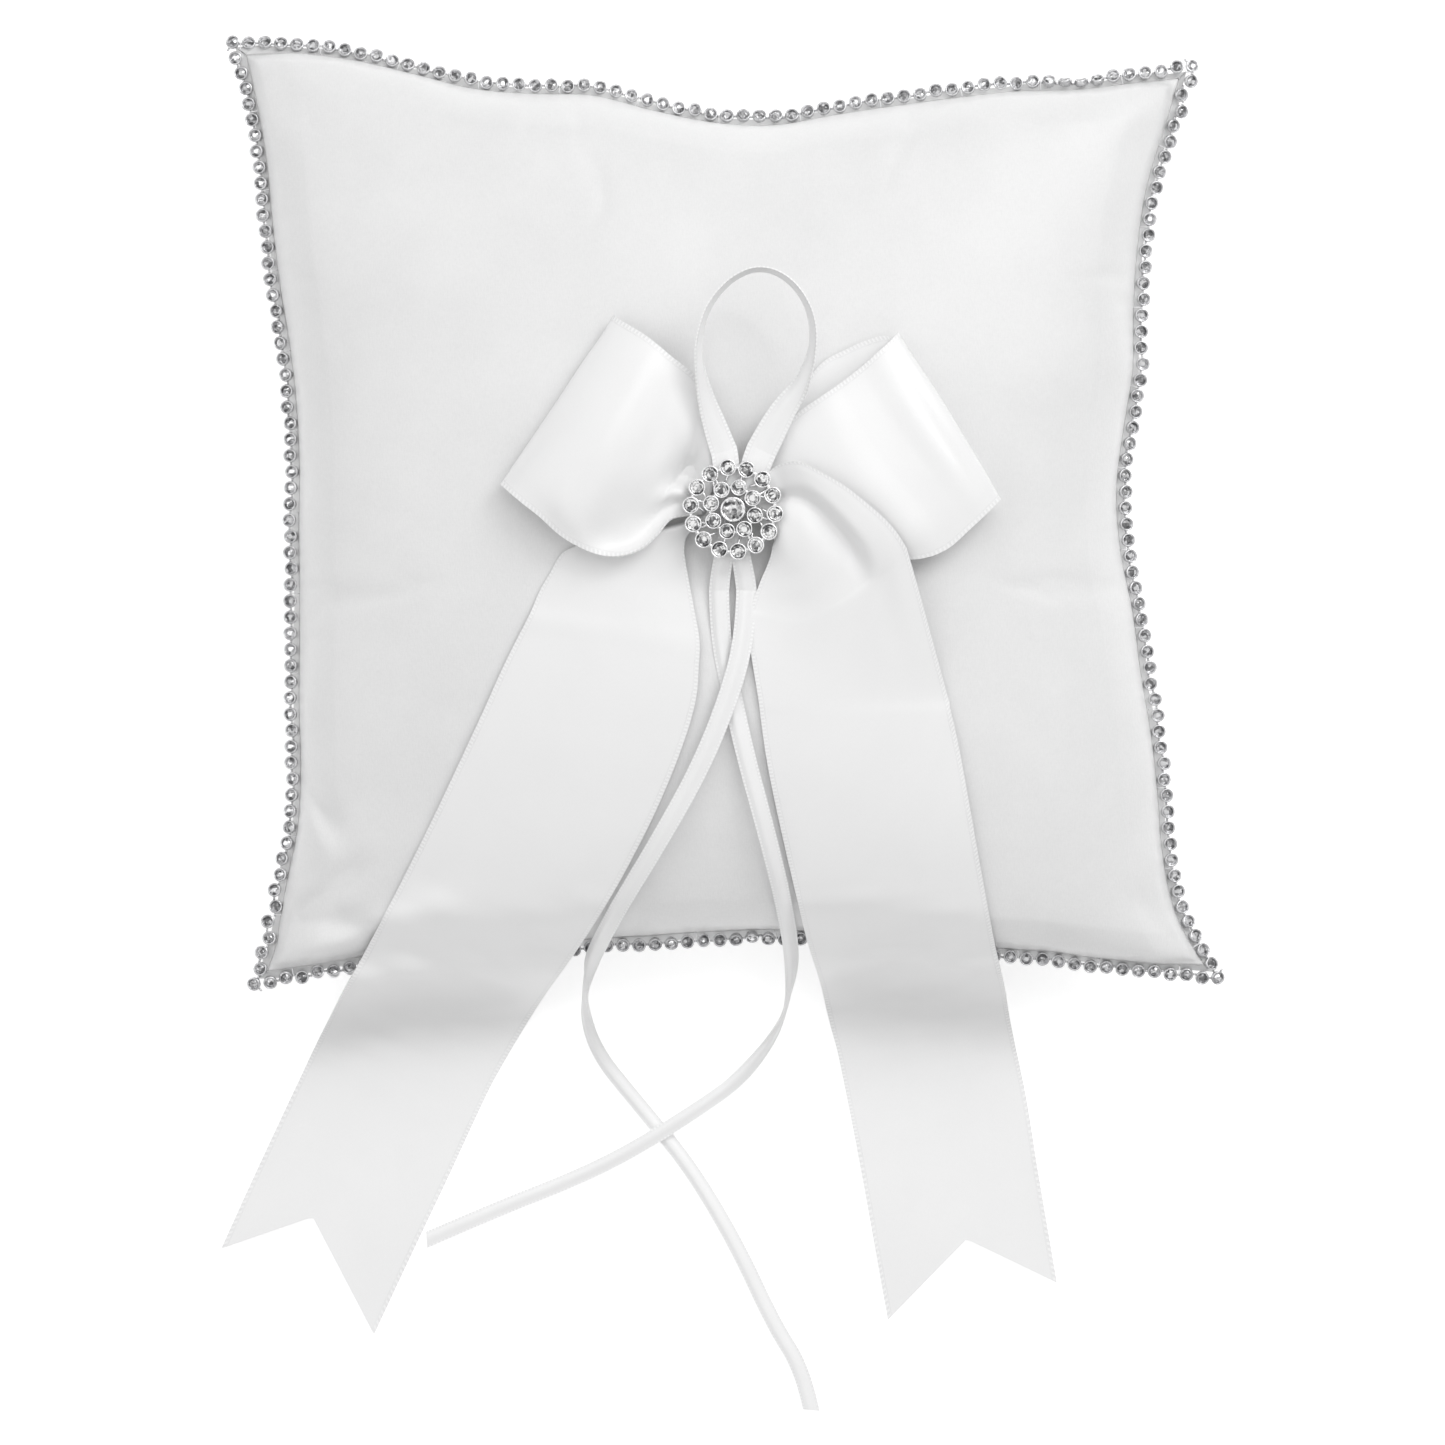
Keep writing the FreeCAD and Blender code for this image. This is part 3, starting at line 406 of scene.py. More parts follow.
def narrow_ribbon(name, pts, width, cup, roll, cut=0.0, shift=((0, 0), (1, 0)), lift=((0, 0), (1, 0))):
    """A ribbon folded lengthwise along a line. width, cup (height of the fold) and roll (degrees) are
    lists of (share of the length, value)."""
    n = len(pts)
    run = np.concatenate([[0], np.cumsum(np.linalg.norm(np.diff(pts, axis=0), axis=1))])
    s = run / run[-1]
    val = lambda tab: np.interp(s, [a for a, _ in tab], [b for _, b in tab])
    def ease(tab):
        v = val(tab)
        for _ in range(14):
            v[1:-1] = (v[:-2] + 2 * v[1:-1] + v[2:]) / 4
        return v
    W, C, R, SH, LI = ease(width), ease(cup), np.radians(ease(roll)), ease(shift), ease(lift)
    T = np.gradient(pts, axis=0)
    T /= np.linalg.norm(T, axis=1, keepdims=True)
    up = np.array([0, 0, 1.0])
    side = np.cross(T, up)
    side /= np.maximum(np.linalg.norm(side, axis=1, keepdims=True), 1e-9)
    nor = np.cross(side, T)
    m = 17
    f = np.linspace(-1, 1, m)
    g = np.zeros((n, m, 3))
    for j, x in enumerate(f):
        # two soft flanks that meet in a rounded lengthwise fold
        d = x - 0.34
        prof = 1 - math.sqrt((d / (1.34 if d < 0 else 0.66)) ** 2 + 0.012) - 0.42 + 0.10 * math.cos(x * 5.0)
        a = x * W / 2 + SH
        b = prof * C
        sx = a * np.cos(R) - b * np.sin(R)
        nx = a * np.sin(R) + b * np.cos(R)
        g[:, j] = pts + side * sx[:, None] + nor * nx[:, None] + up * LI[:, None]
        if cut:
            # the end is cut on a slant
            k = np.clip((s - 0.965) / 0.035, 0, 1)
            g[:, j] -= T * (k * (x * 0.5 + 0.5) * cut)[:, None]
    return g


tie_a_line = route_points("ring_tie_a", TIE_A_M)
tie_b_line = route_points("ring_tie_b", TIE_B_M)
loop_line = route_points("ring_loop", RING_LOOP_M)


g_tie_a = narrow_ribbon("a", tie_a_line,
                        [(0, 4.3), (0.10, 4.1), (0.3, 3.7), (0.45, 3.6), (0.50, 3.0), (0.55, 2.6), (0.60, 3.2), (1, 3.5)],
                        [(0, 0.7), (0.3, 0.5), (0.5, 0.7), (1, 0.45)],
                        [(0, 8), (0.1, 4), (0.3, -4), (0.44, -12), (0.485, -70), (0.50, -88), (0.515, -70), (0.56, -10), (0.7, 0), (1, 4)], cut=1.2)
g_tie_b = narrow_ribbon("b", tie_b_line,
                        [(0, 4.2), (0.10, 4.0), (0.3, 3.6), (0.45, 3.3), (0.55, 2.6), (0.62, 3.2), (1, 3.4)],
                        [(0, 0.7), (0.3, 0.5), (0.5, 0.6), (1, 0.45)],
                        [(0, -6), (0.1, -3), (0.3, 3), (0.44, 14), (0.50, 60), (0.53, 84), (0.56, 60), (0.62, 12), (0.7, 0), (1, -4)], cut=1.2)
g_loop = narrow_ribbon("l", loop_line,
                       [(0, 5.6), (0.05, 5.2), (0.12, 4.6), (0.2, 4.2), (0.3, 4.0), (0.75, 4.0), (0.82, 4.4), (0.88, 5.2), (0.94, 6.0), (1, 6.4)],
                       [(0, 0.5), (0.2, 0.6), (0.5, 0.5), (0.85, 0.7), (1, 0.6)],
                       [(0, -6), (0.06, -14), (0.12, -38), (0.20, -64), (0.30, -78), (0.50, -80), (0.62, -76), (0.74, -68), (0.81, -48), (0.87, -18), (0.93, -8), (1, -5)],
                       shift=[(0, 0.5), (0.1, 0.2), (0.2, 0), (0.82, 0), (0.9, 0.8), (1, 1.0)],
                       lift=[(0, 0), (0.12, 0.8), (0.2, 1.2), (0.3, 1.2), (0.75, 1.0), (0.86, 0.3), (1, 0)])

ring_tie_a = cloth_solid("ring_tie_a_ribbon", g_tie_a, 0.22, MAT_NARROW, 6.4, 1.4)
ring_tie_b = cloth_solid("ring_tie_b_ribbon", g_tie_b, 0.22, MAT_NARROW, 6.4, 1.4)
ring_loop = cloth_solid("ring_loop_ribbon", g_loop, 0.22, MAT_NARROW, 6.4, 1.4)
for ob, node, body in ((ring_tie_a, "ring_tie_a", "ring_ties"), (ring_tie_b, "ring_tie_b", "ring_ties"),
                       (ring_loop, "ring_loop", "ring_loop_body")):
    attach(ob, body)
    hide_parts(node)

# short lengths of the same ribbon that run under the brooch, from the ties and from the loop


def strip_root(name, points, width, cup, shift, row, at, first=False):
    """row: the cross-section of the tie or loop that the strip runs on into, about the place at."""
    points = [tuple(at)] + points[1:] if first else points[:-1] + [tuple(at)]
    line = catmull(points, 40)
    g = narrow_ribbon(name, line, width, cup, [(0, 0), (1, 0)], shift=shift)
    w = fade(np.linspace(1, 0, 41) if first else np.linspace(0, 1, 41), 0.35, 1.0)[:, None, None]
    g = g * (1 - w) + (line[:, None, :] + (row - np.asarray(at))[None]) * w
    ob = cloth_solid(name, g, 0.22, MAT_NARROW, 6.4, 1.4)
    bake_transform(ob)
    return ob


root_a = strip_root("ring_tie_a_root", [(1.9, -2.0, 59.4), (2.3, -6.0, 59.3), (2.9, -10.0, 58.7), (3.5, -13.2, 57.2), (3.9, -16.1, 56.2)],
                    [(0, 3.4), (0.5, 3.9), (1, 4.1)], [(0, 0.5), (1, 0.65)], [(0, 0), (1, 0)],
                    g_tie_a[0], tie_a_line[0])
root_b = strip_root("ring_tie_b_root", [(0.2, -2.0, 59.3), (-0.4, -6.0, 59.2), (-1.1, -10.0, 58.6), (-1.6, -13.2, 57.1), (-1.9, -16.1, 56.2)],
                    [(0, 3.4), (0.5, 3.9), (1, 4.0)], [(0, 0.5), (1, 0.65)], [(0, 0), (1, 0)],
                    g_tie_b[0], tie_b_line[0])
root_l = strip_root("ring_loop_left_root", [(0.3, 1.5, 59.4), (-0.1, 5.0, 59.7), (-0.7, 9.0, 59.9), (-1.3, 12.7, 60.0)],
                    [(0, 4.4), (0.6, 5.2), (1, 5.5)], [(0, 0.5), (1, 0.5)], [(0, 0), (1, 0.5)],
                    g_loop[0], loop_line[0])
root_r = strip_root("ring_loop_right_root", [(7.9, 12.7, 60.0), (6.4, 9.0, 59.95), (4.8, 5.0, 59.9), (3.4, 1.5, 59.7)],
                    [(0, 6.3), (0.4, 5.9), (1, 4.6)], [(0, 0.6), (1, 0.5)], [(0, 1.0), (0.5, 0.7), (1, 0.4)],
                    g_loop[-1], loop_line[-1], True)
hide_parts("ring_ribbon_centre")

# ------------------------------------------------------------------ cushion outline, as in the CAD
SEAM_Z, SEAM_DROP, CROWN, BELLY = 24.0, 4.0, 31.5, 30.0
DIMPLE, DIMPLE_R = 3.4, 14.0
SEAM_INSET = 1.85
KNOT_X, KNOT_Y = 1.0, 0.65
TRIM_PITCH = 3.45
TOP = [(-106.3, 102.2), (-92.63, 101.6), (-79.79, 99.89), (-66.96, 96.9), (-54.12, 93.69), (-41.29, 92.62),
       (-28.45, 92.2), (-15.62, 88.98), (-2.78, 86.42), (10.05, 85.9), (22.89, 88.13), (35.72, 90.05),
       (48.55, 91.76), (61.39, 93.2), (74.22, 93.6), (87.06, 95.19), (99.7, 97.2)]
RIGHT = [(99.7, 97.2), (95.19, 82.99), (91.34, 70.16), (89.41, 57.32), (88.56, 44.49), (88.4, 31.65),
         (86.42, 18.82), (84.9, 5.98), (85.78, -6.85), (88.34, -19.68), (90.05, -32.52), (92.19, -45.35),
         (93.69, -58.19), (94.76, -71.02), (97.54, -83.86), (105.2, -98.6)]
BOTTOM = [(-101.6, -99.8), (-82.79, -96.48), (-70.17, -94.2), (-55.0, -93.2), (-40.22, -92.63), (-25.25, -91.56),
          (-16.69, -91.13), (-8.13, -90.49), (0.42, -90.06), (8.98, -89.85), (30.37, -90.92), (45.0, -92.3),
          (59.25, -93.91), (68.88, -94.55), (77.43, -95.84), (94.55, -97.55), (105.2, -98.6)]
LEFT = [(-101.6, -99.8), (-98.8, -91.35), (-96.48, -78.51), (-93.9, -65.68), (-93.27, -52.84), (-93.6, -40.01),
        (-93.48, -27.17), (-93.48, -14.34), (-93.6, -1.5), (-93.5, 11.33), (-94.13, 24.17), (-95.62, 37.0),
        (-97.7, 49.84), (-99.26, 62.67), (-100.54, 75.51), (-102.68, 88.34), (-106.3, 102.2)]
CORNERS = {"bl": (-98.7, -97.0), "br": (102.0, -95.7), "tl": (-103.2, 99.3), "tr": (96.6, 94.3)}


def inset_line(line, d, left_is_inside):
    t = np.empty_like(line)
    t[1:-1] = line[2:] - line[:-2]
    t[0], t[-1] = line[1] - line[0], line[-1] - line[-2]
    t /= np.linalg.norm(t, axis=1, keepdims=True)
    n = np.stack([-t[:, 1], t[:, 0]], 1) if left_is_inside else np.stack([t[:, 1], -t[:, 0]], 1)
    return line + n * d


def pin_ends(line, a, b):
    n = len(line) - 1
    i = np.arange(n + 1)
    wa, wb = np.maximum(0, 1 - i / 6.0)[:, None], np.maximum(0, 1 - (n - i) / 6.0)[:, None]
    return line + (np.array(a) - line[0]) * wa + (np.array(b) - line[-1]) * wb


NS = 96
SIDE_B = pin_ends(inset_line(catmull(BOTTOM, NS), SEAM_INSET, True), CORNERS["bl"], CORNERS["br"])
SIDE_T = pin_ends(inset_line(catmull(TOP, NS), SEAM_INSET, False), CORNERS["tl"], CORNERS["tr"])
SIDE_L = pin_ends(inset_line(catmull(LEFT, NS), SEAM_INSET, False), CORNERS["bl"], CORNERS["tl"])
SIDE_R = pin_ends(inset_line(catmull(RIGHT[::-1], NS), SEAM_INSET, True), CORNERS["br"], CORNERS["tr"])
_T = np.linspace(0, 1, NS + 1)


def plan(u, v):
    u, v = np.asarray(u, float), np.asarray(v, float)
    s, t = np.clip((u + 1) / 2, 0, 1), np.clip((v + 1) / 2, 0, 1)
    out = []
    for k in range(2):
        b, tp = np.interp(s, _T, SIDE_B[:, k]), np.interp(s, _T, SIDE_T[:, k])
        l, r = np.interp(t, _T, SIDE_L[:, k]), np.interp(t, _T, SIDE_R[:, k])
        c = ((1 - s) * (1 - t) * CORNERS["bl"][k] + s * (1 - t) * CORNERS["br"][k]
             + (1 - s) * t * CORNERS["tl"][k] + s * t * CORNERS["tr"][k])
        out.append((1 - t) * b + t * tp + (1 - s) * l + s * r - c)
    return out[0], out[1]


def seam_z(u, v):
    return SEAM_Z - SEAM_DROP * np.abs(np.clip(u, -1, 1)) ** 3 * np.abs(np.clip(v, -1, 1)) ** 3


def swell(u, v, p, q):
    return (np.maximum(0, 1 - np.minimum(1, np.abs(u)) ** p) * np.maximum(0, 1 - np.minimum(1, np.abs(v)) ** p)) ** q


def top_z(u, v):
    x, y = plan(u, v)
    r2 = (x - KNOT_X) ** 2 + (y - KNOT_Y) ** 2
    return seam_z(u, v) + 0.2 + (CROWN + 0.3) * swell(u, v, 2.4, 0.6) - DIMPLE * np.exp(-r2 / (2 * DIMPLE_R ** 2))


def low_z(u, v):
    return seam_z(u, v) - 0.2 - BELLY * swell(u, v, 3.2, 0.6)


# ------------------------------------------------------------------ cloth simulation of the cushion
SIM_N = 72


def cushion_sim():
    """Two square panels sewn along their edges and blown up by the filling. Returns, for a (SIM_N+1)^2 grid of each
    panel, the places where the simulated cloth ends up."""
    n = SIM_N
    half = 99.0
    side = np.linspace(-1, 1, n + 1)
    U, V_ = np.meshgrid(side, side, indexing="ij")
    rng = np.random.RandomState(11)
    lift = 3.0 + 9.0 * (1 - np.abs(U) ** 3) * (1 - np.abs(V_) ** 3)
    jig = rng.uniform(-0.25, 0.25, (2, n + 1, n + 1))
    # uneven easing of the seam where the trim was sewn on
    ease = 1.0 + 0.012 * np.sin(U * 9.0 + 1.3) * np.abs(V_) ** 6 + 0.012 * np.sin(V_ * 8.0) * np.abs(U) ** 6
    X, Y = U * half * ease, V_ * half * ease
    top = np.stack([X, Y, lift + jig[0]], 2)
    bot = np.stack([X, Y, -lift + jig[1]], 2)
    edge = np.zeros((n + 1, n + 1), bool)
    edge[0], edge[-1], edge[:, 0], edge[:, -1] = True, True, True, True
    top[edge, 2] = 0
    verts = list(map(tuple, top.reshape(-1, 3)))
    idx_t = np.arange((n + 1) ** 2).reshape(n + 1, n + 1)
    idx_b = idx_t.copy()
    k = len(verts)
    for i in range(1, n):
        for j in range(1, n):
            idx_b[i, j] = k
            verts.append(tuple(bot[i, j]))
            k += 1
    faces = []
    for i in range(n):
        for j in range(n):
            faces.append((idx_t[i, j], idx_t[i + 1, j], idx_t[i + 1, j + 1], idx_t[i, j + 1]))
            faces.append((idx_b[i, j], idx_b[i, j + 1], idx_b[i + 1, j + 1], idx_b[i + 1, j]))
    # simulate at ten times the size in metres, where the solver is steady
    S = 0.01
    me = bpy.data.meshes.new("cushion_cloth")
    me.from_pydata([(x * S, y * S, z * S) for x, y, z in verts], [], faces)
    ob = bpy.data.objects.new("cushion_cloth", me)
    scene.collection.objects.link(ob)
    mod = ob.modifiers.new("cloth", "CLOTH")
    st = mod.settings
    st.quality = 6
    st.mass = 0.25
    st.tension_stiffness = 25
    st.compression_stiffness = 12
    st.shear_stiffness = 6
    st.bending_stiffness = 0.35
    st.use_pressure = True
    st.uniform_pressure_force = 5.0
    st.effector_weights.gravity = 0.0
    st.air_damping = 3.0
    mod.collision_settings.use_collision = False
    mod.collision_settings.use_self_collision = False
    frames = 34
    mod.point_cache.frame_start, mod.point_cache.frame_end = 1, frames
    scene.frame_start, scene.frame_end = 1, frames
    for f in range(1, frames + 1):
        scene.frame_set(f)
    dg = bpy.context.evaluated_depsgraph_get()
    ev = ob.evaluated_get(dg)
    res = np.array([v.co[:] for v in ev.data.vertices]) / S
    bpy.data.objects.remove(ob)
    bpy.data.meshes.remove(me)
    scene.frame_set(1)
    out = []
    for idx in (idx_t, idx_b):
        g = res[idx]
        out.append(g)
    return out


def blur(a, times):
    """Repeated box blur of a grid with its edge held by reflection."""
    a = a.copy()
    for _ in range(times):
        p = np.pad(a, ((1, 1), (0, 0), (0, 0)), mode="reflect", reflect_type="odd")
        a = (p[:-2] + 2 * p[1:-1] + p[2:]) / 4
        p = np.pad(a, ((0, 0), (1, 1), (0, 0)), mode="reflect", reflect_type="odd")
        a = (p[:, :-2] + 2 * p[:, 1:-1] + p[:, 2:]) / 4
    return a


def resample(grid, U, V_):
    """Bicubic-like smooth sampling of a square grid at u, v in -1..1."""
    n = grid.shape[0] - 1
    x, y = (np.clip(U, -1, 1) + 1) / 2 * n, (np.clip(V_, -1, 1) + 1) / 2 * n
    i, j = np.minimum(x.astype(int), n - 1), np.minimum(y.astype(int), n - 1)
    fx, fy = x - i, y - j
    def wts(t):
        return (0.5 * (-t ** 3 + 2 * t ** 2 - t), 0.5 * (3 * t ** 3 - 5 * t ** 2 + 2),
                0.5 * (-3 * t ** 3 + 4 * t ** 2 + t), 0.5 * (t ** 3 - t ** 2))
    wx, wy = wts(fx), wts(fy)
    out = 0
    for a in range(4):
        for b in range(4):
            ii, jj = np.clip(i + a - 1, 0, n), np.clip(j + b - 1, 0, n)
            out = out + grid[ii, jj] * (wx[a] * wy[b])[..., None]
    return out


PANEL_N = 200
_s = np.linspace(-1, 1, PANEL_N + 1)
# closer rows near the seams, where the cloth puckers
_q = np.sign(_s) * (1 - (1 - np.abs(_s)) ** 1.25)
PU, PV = np.meshgrid(_q, _q, indexing="ij")

sim_top, sim_low = cushion_sim()


def wrinkles(sim, passes=60):
    if sim is None:
        return np.zeros((PANEL_N + 1, PANEL_N + 1, 3))
    res = sim - blur(sim, passes)
    return resample(res, PU, PV)


def fold(x, y, a, b, width, height, ends=0.25):
    """A soft ridge (or groove) along the line a to b."""
    ax, ay = a
    dx, dy = b[0] - ax, b[1] - ay
    L = math.hypot(dx, dy)
    t = ((x - ax) * dx + (y - ay) * dy) / (L * L)
    d = ((x - ax) * dy - (y - ay) * dx) / L
    return height * np.exp(-(d / width) ** 2) * fade(t, -ends, ends) * (1 - fade(t, 1 - ends, 1 + ends))


def panel(sim, top):
    zf = top_z if top else low_z
    X, Y = plan(PU, PV)
    Z = zf(PU, PV)
    g = np.stack([X, Y, Z], 2)
    w = wrinkles(sim)
    e = np.minimum(1 - np.abs(PU), 1 - np.abs(PV))
    gain = fade(e, 0.0, 0.035)
    amp = np.linalg.norm(w, axis=2).max() if sim is not None else 0
    print("cushion wrinkles, largest", round(float(amp), 2), "mm")
    size = np.maximum(np.linalg.norm(w, axis=2), 1e-6)
    lim = 0.25 + 0.55 * np.exp(-e / 0.16)
    w = w * (lim * np.tanh(0.45 * size / lim) / size)[..., None]
    g = g + w * gain[..., None]
    # small scallops of the satin between the trim's stitches, dying away inwards
    x, y = g[..., 0], g[..., 1]
    near = np.exp(-e / 0.035)
    wave = np.sin(x * 2 * math.pi / 17.25 + 0.7) * (1 - fade(1 - np.abs(PV), 0.0, 0.12)) \
        + np.sin(y * 2 * math.pi / 17.25 + 2.1) * (1 - fade(1 - np.abs(PU), 0.0, 0.12))
    zz = 0.55 * near * wave * fade(e, 0.0, 0.012)
    # drawn folds of the front: two at the lower left corner, a crease from the left seam, dents at the top left
    if top:
        zz = zz + fold(x, y, (-96, -90), (-78, -74), 3.0, -1.5) + fold(x, y, (-92, -94), (-60, -82), 3.0, 1.9)
        zz = zz + fold(x, y, (-93, -52), (-84, -66), 2.4, -1.8) + fold(x, y, (-93, -58), (-85, -73), 3.2, 1.2)
        zz = zz + fold(x, y, (-90, -84), (-62, -93), 3.4, -1.6)
        zz = zz + fold(x, y, (96, 88), (84, 76), 3.6, -0.8) + fold(x, y, (98, -92), (86, -80), 3.2, -0.9)
        zz = zz + fold(x, y, (-98, 94), (-86, 82), 4.5, -0.9)
        zz = zz - 0.9 * np.exp(-(((x + 78) / 14) ** 2 + ((y - 84) / 9) ** 2))
        zz = zz - 0.5 * np.exp(-(((x - 30) / 22) ** 2 + ((y - 76) / 8) ** 2))
    g[..., 2] += zz * np.minimum(1, e / 0.02)
    if not top:
        # the filling pushes the side of the cushion out a little below the trim
        du = np.gradient(g[..., :2], axis=0)
        dv = np.gradient(g[..., :2], axis=1)
        du /= np.linalg.norm(du, axis=2, keepdims=True)
        dv /= np.linalg.norm(dv, axis=2, keepdims=True)
        for d, q in ((du, PU), (dv, PV)):
            h = (1 - np.abs(q)) / 0.007
            push = (2.35 + 0.35 * np.sin(x * 0.31 + y * 0.27)) * h * np.exp(1 - h)
            g[..., :2] += d * (np.sign(q) * push * fade(e, -0.001, 0.003))[..., None]
        # the underside lies on the table: flat, with a soft turn at its edge
        z = g[..., 2]
        g[..., 2] = np.where(z > 1.5, z, 0.02 + 1.48 * np.exp((np.minimum(z, 1.5) - 1.5) / 1.5))
    return g


g_top = panel(sim_top, True)
g_low = panel(sim_low, False)
# neither cloth sinks into the filling
_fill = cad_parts["fibre_filling"]
_fv = [_fill.matrix_world @ v.co * 1000.0 for v in _fill.data.vertices]
FILL_TREE = BVHTree.FromPolygons(_fv, [tuple(q.vertices) for q in _fill.data.polygons])
for g, way in ((g_top, 1.0), (g_low, -1.0)):
    for row in g:
        for pt in row:
            hit = FILL_TREE.ray_cast(Vector((pt[0], pt[1], 200.0 * way)), Vector((0, 0, -way)))[0]
            if hit is not None and (pt[2] - hit.z) * way < 0.75:
                pt[2] = hit.z + 0.75 * way
# the same edge for both panels
for g in (g_top, g_low):
    pass
mid = (g_top + g_low) / 2
rim = np.zeros((PANEL_N + 1, PANEL_N + 1), bool)
rim[0], rim[-1], rim[:, 0], rim[:, -1] = True, True, True, True
g_top[rim] = mid[rim] + (0, 0, 0.12)
g_low[rim] = mid[rim] - (0, 0, 0.12)


def panel_solid(name, g, t, mat, outward):
    nn = normals_of(g)
    if (nn[..., 2].mean() > 0) != outward:
        nn = -nn
    e = np.minimum(1 - np.abs(PU), 1 - np.abs(PV))
    inner = g - nn * t
    # inside face never crosses the seam plane
    inner[..., 2] = np.where(outward, np.maximum(inner[..., 2], np.minimum(g[..., 2], g[..., 2] - 0.05)), inner[..., 2])
    n, m = g.shape[:2]
    k = n * m
    inner[rim] = g[rim] - np.array([0, 0, 0.1 if outward else -0.1])
    verts = np.concatenate([g.reshape(-1, 3), inner.reshape(-1, 3)])
    idx = np.arange(k).reshape(n, m)
    a, b, c, d = idx[:-1, :-1].ravel(), idx[1:, :-1].ravel(), idx[1:, 1:].ravel(), idx[:-1, 1:].ravel()
    f1, f2 = np.stack([a, b, c, d], 1), np.stack([a + k, d + k, c + k, b + k], 1)
    edge = list(idx[0, :]) + list(idx[1:, -1]) + list(idx[-1, -2::-1]) + list(idx[-2:0:-1, 0])
    f3 = [(edge[i], edge[(i + 1) % len(edge)], edge[(i + 1) % len(edge)] + k, edge[i] + k) for i in range(len(edge))]
    faces = [tuple(q) for q in f1] + [tuple(q) for q in f2] + f3
    if not outward:
        faces = [tuple(reversed(q)) for q in faces]
    return new_object(name, verts, faces, mat)


front = panel_solid("pillow_front_cloth", g_top, 0.45, MAT_CUSHION, True)
back = panel_solid("pillow_back_cloth", g_low, 0.45, MAT_BACK, False)
for ob, node in ((front, "pillow_front_panel"), (back, "pillow_back_panel")):
    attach(ob, "pillow")
    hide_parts(node)

# heights of whatever lies under a ribbon
_k = PANEL_N + 1
_idx = np.arange(_k * _k).reshape(_k, _k)
_a, _b, _c, _d = _idx[:-1, :-1].ravel(), _idx[1:, :-1].ravel(), _idx[1:, 1:].ravel(), _idx[:-1, 1:].ravel()
TOP_TREE = BVHTree.FromPolygons([Vector(p) for p in g_top.reshape(-1, 3)], [tuple(q) for q in np.stack([_a, _b, _c, _d], 1)])
TRIM_LINE = np.vstack([catmull(BOTTOM, 90)[:-1], catmull(RIGHT[::-1], 90)[:-1], catmull(TOP, 90)[::-1][:-1],
                       catmull(LEFT, 90)[::-1]])


def support(x, y):
    hit = TOP_TREE.ray_cast(Vector((x, y, 200.0)), Vector((0, 0, -1)))[0]
    z = hit.z if hit is not None else 0.0
    d = np.hypot(TRIM_LINE[:, 0] - x, TRIM_LINE[:, 1] - y)
    d = float(d.min())
    if d < 3.3:
        z = max(z, SEAM_Z + 1.6 - 0.5 * max(0.0, d - 1.6))
    elif hit is None:
        z = max(0.0, SEAM_Z + 1.6 - math.tan(math.radians(70)) * (d - 3.0))
    return z


def rolled(zs, step, radius):
    """Lowest line over the supports that a ribbon with this bend radius can follow."""
    m = int(radius / step)
    k = np.arange(-m, m + 1)
    dip = np.sqrt(np.maximum(radius ** 2 - (k * step) ** 2, 0.0))
    pad = np.pad(zs, m, mode="edge")
    up = np.array([(pad[i:i + 2 * m + 1] + dip).max() for i in range(len(zs))])
    pad = np.pad(up, m, mode="edge")
    return np.array([(pad[i:i + 2 * m + 1] - dip).min() for i in range(len(zs))])


# ------------------------------------------------------------------ wide ribbon: tails
LEFT_OUT = [(-14.5, -0.6), (-24.71, -3.49), (-34.75, -8.6), (-38.1, -15.62), (-41.45, -20.84), (-47.0, -31.72),
            (-52.18, -43.02), (-61.99, -63.39), (-71.07, -81.07), (-76.57, -91.2), (-81.47, -99.68),
            (-85.86, -107.18), (-90.15, -115.12), (-98.21, -132.08), (-105.16, -147.08), (-110.16, -158.16)]
LEFT_IN = [(-4.6, -4.3), (-7.2, -8.6), (-7.98, -13.94), (-6.9, -20.63), (-6.0, -26.49), (-7.0, -40.09),
           (-13.24, -57.91), (-22.38, -76.33), (-32.02, -91.87), (-38.86, -101.51), (-42.94, -107.86),
           (-47.35, -115.34), (-52.14, -124.04), (-61.05, -143.17), (-69.09, -160.12), (-76.91, -176.85)]
LEFT_NOTCH = (-89.08, -151.86)
RIGHT_IN = [(8.2, -2.6), (8.9, -6.63), (8.0, -10.81), (7.2, -15.62), (6.6, -20.5), (6.0, -28.5), (6.2, -38.0),
            (8.1, -51.61), (10.9, -65.29), (14.13, -79.13), (17.27, -91.65), (19.83, -99.46), (21.93, -108.31),
            (23.92, -116.0), (27.18, -132.08), (30.0, -147.08), (32.39, -160.55), (34.78, -173.59)]
RIGHT_OUT = [(10.2, 6.6), (22.35, 7.38), (33.4, -2.45), (39.5, -13.94), (40.97, -18.12), (43.29, -26.49),
             (45.6, -36.5), (48.17, -47.42), (50.33, -58.54), (52.83, -71.86), (55.58, -85.65), (57.2, -92.6),
             (59.4, -100.37), (61.21, -108.31), (64.77, -124.91), (67.16, -139.91), (69.55, -154.03), (71.51, -165.55)]
RIGHT_NOTCH = (51.3, -156.2)
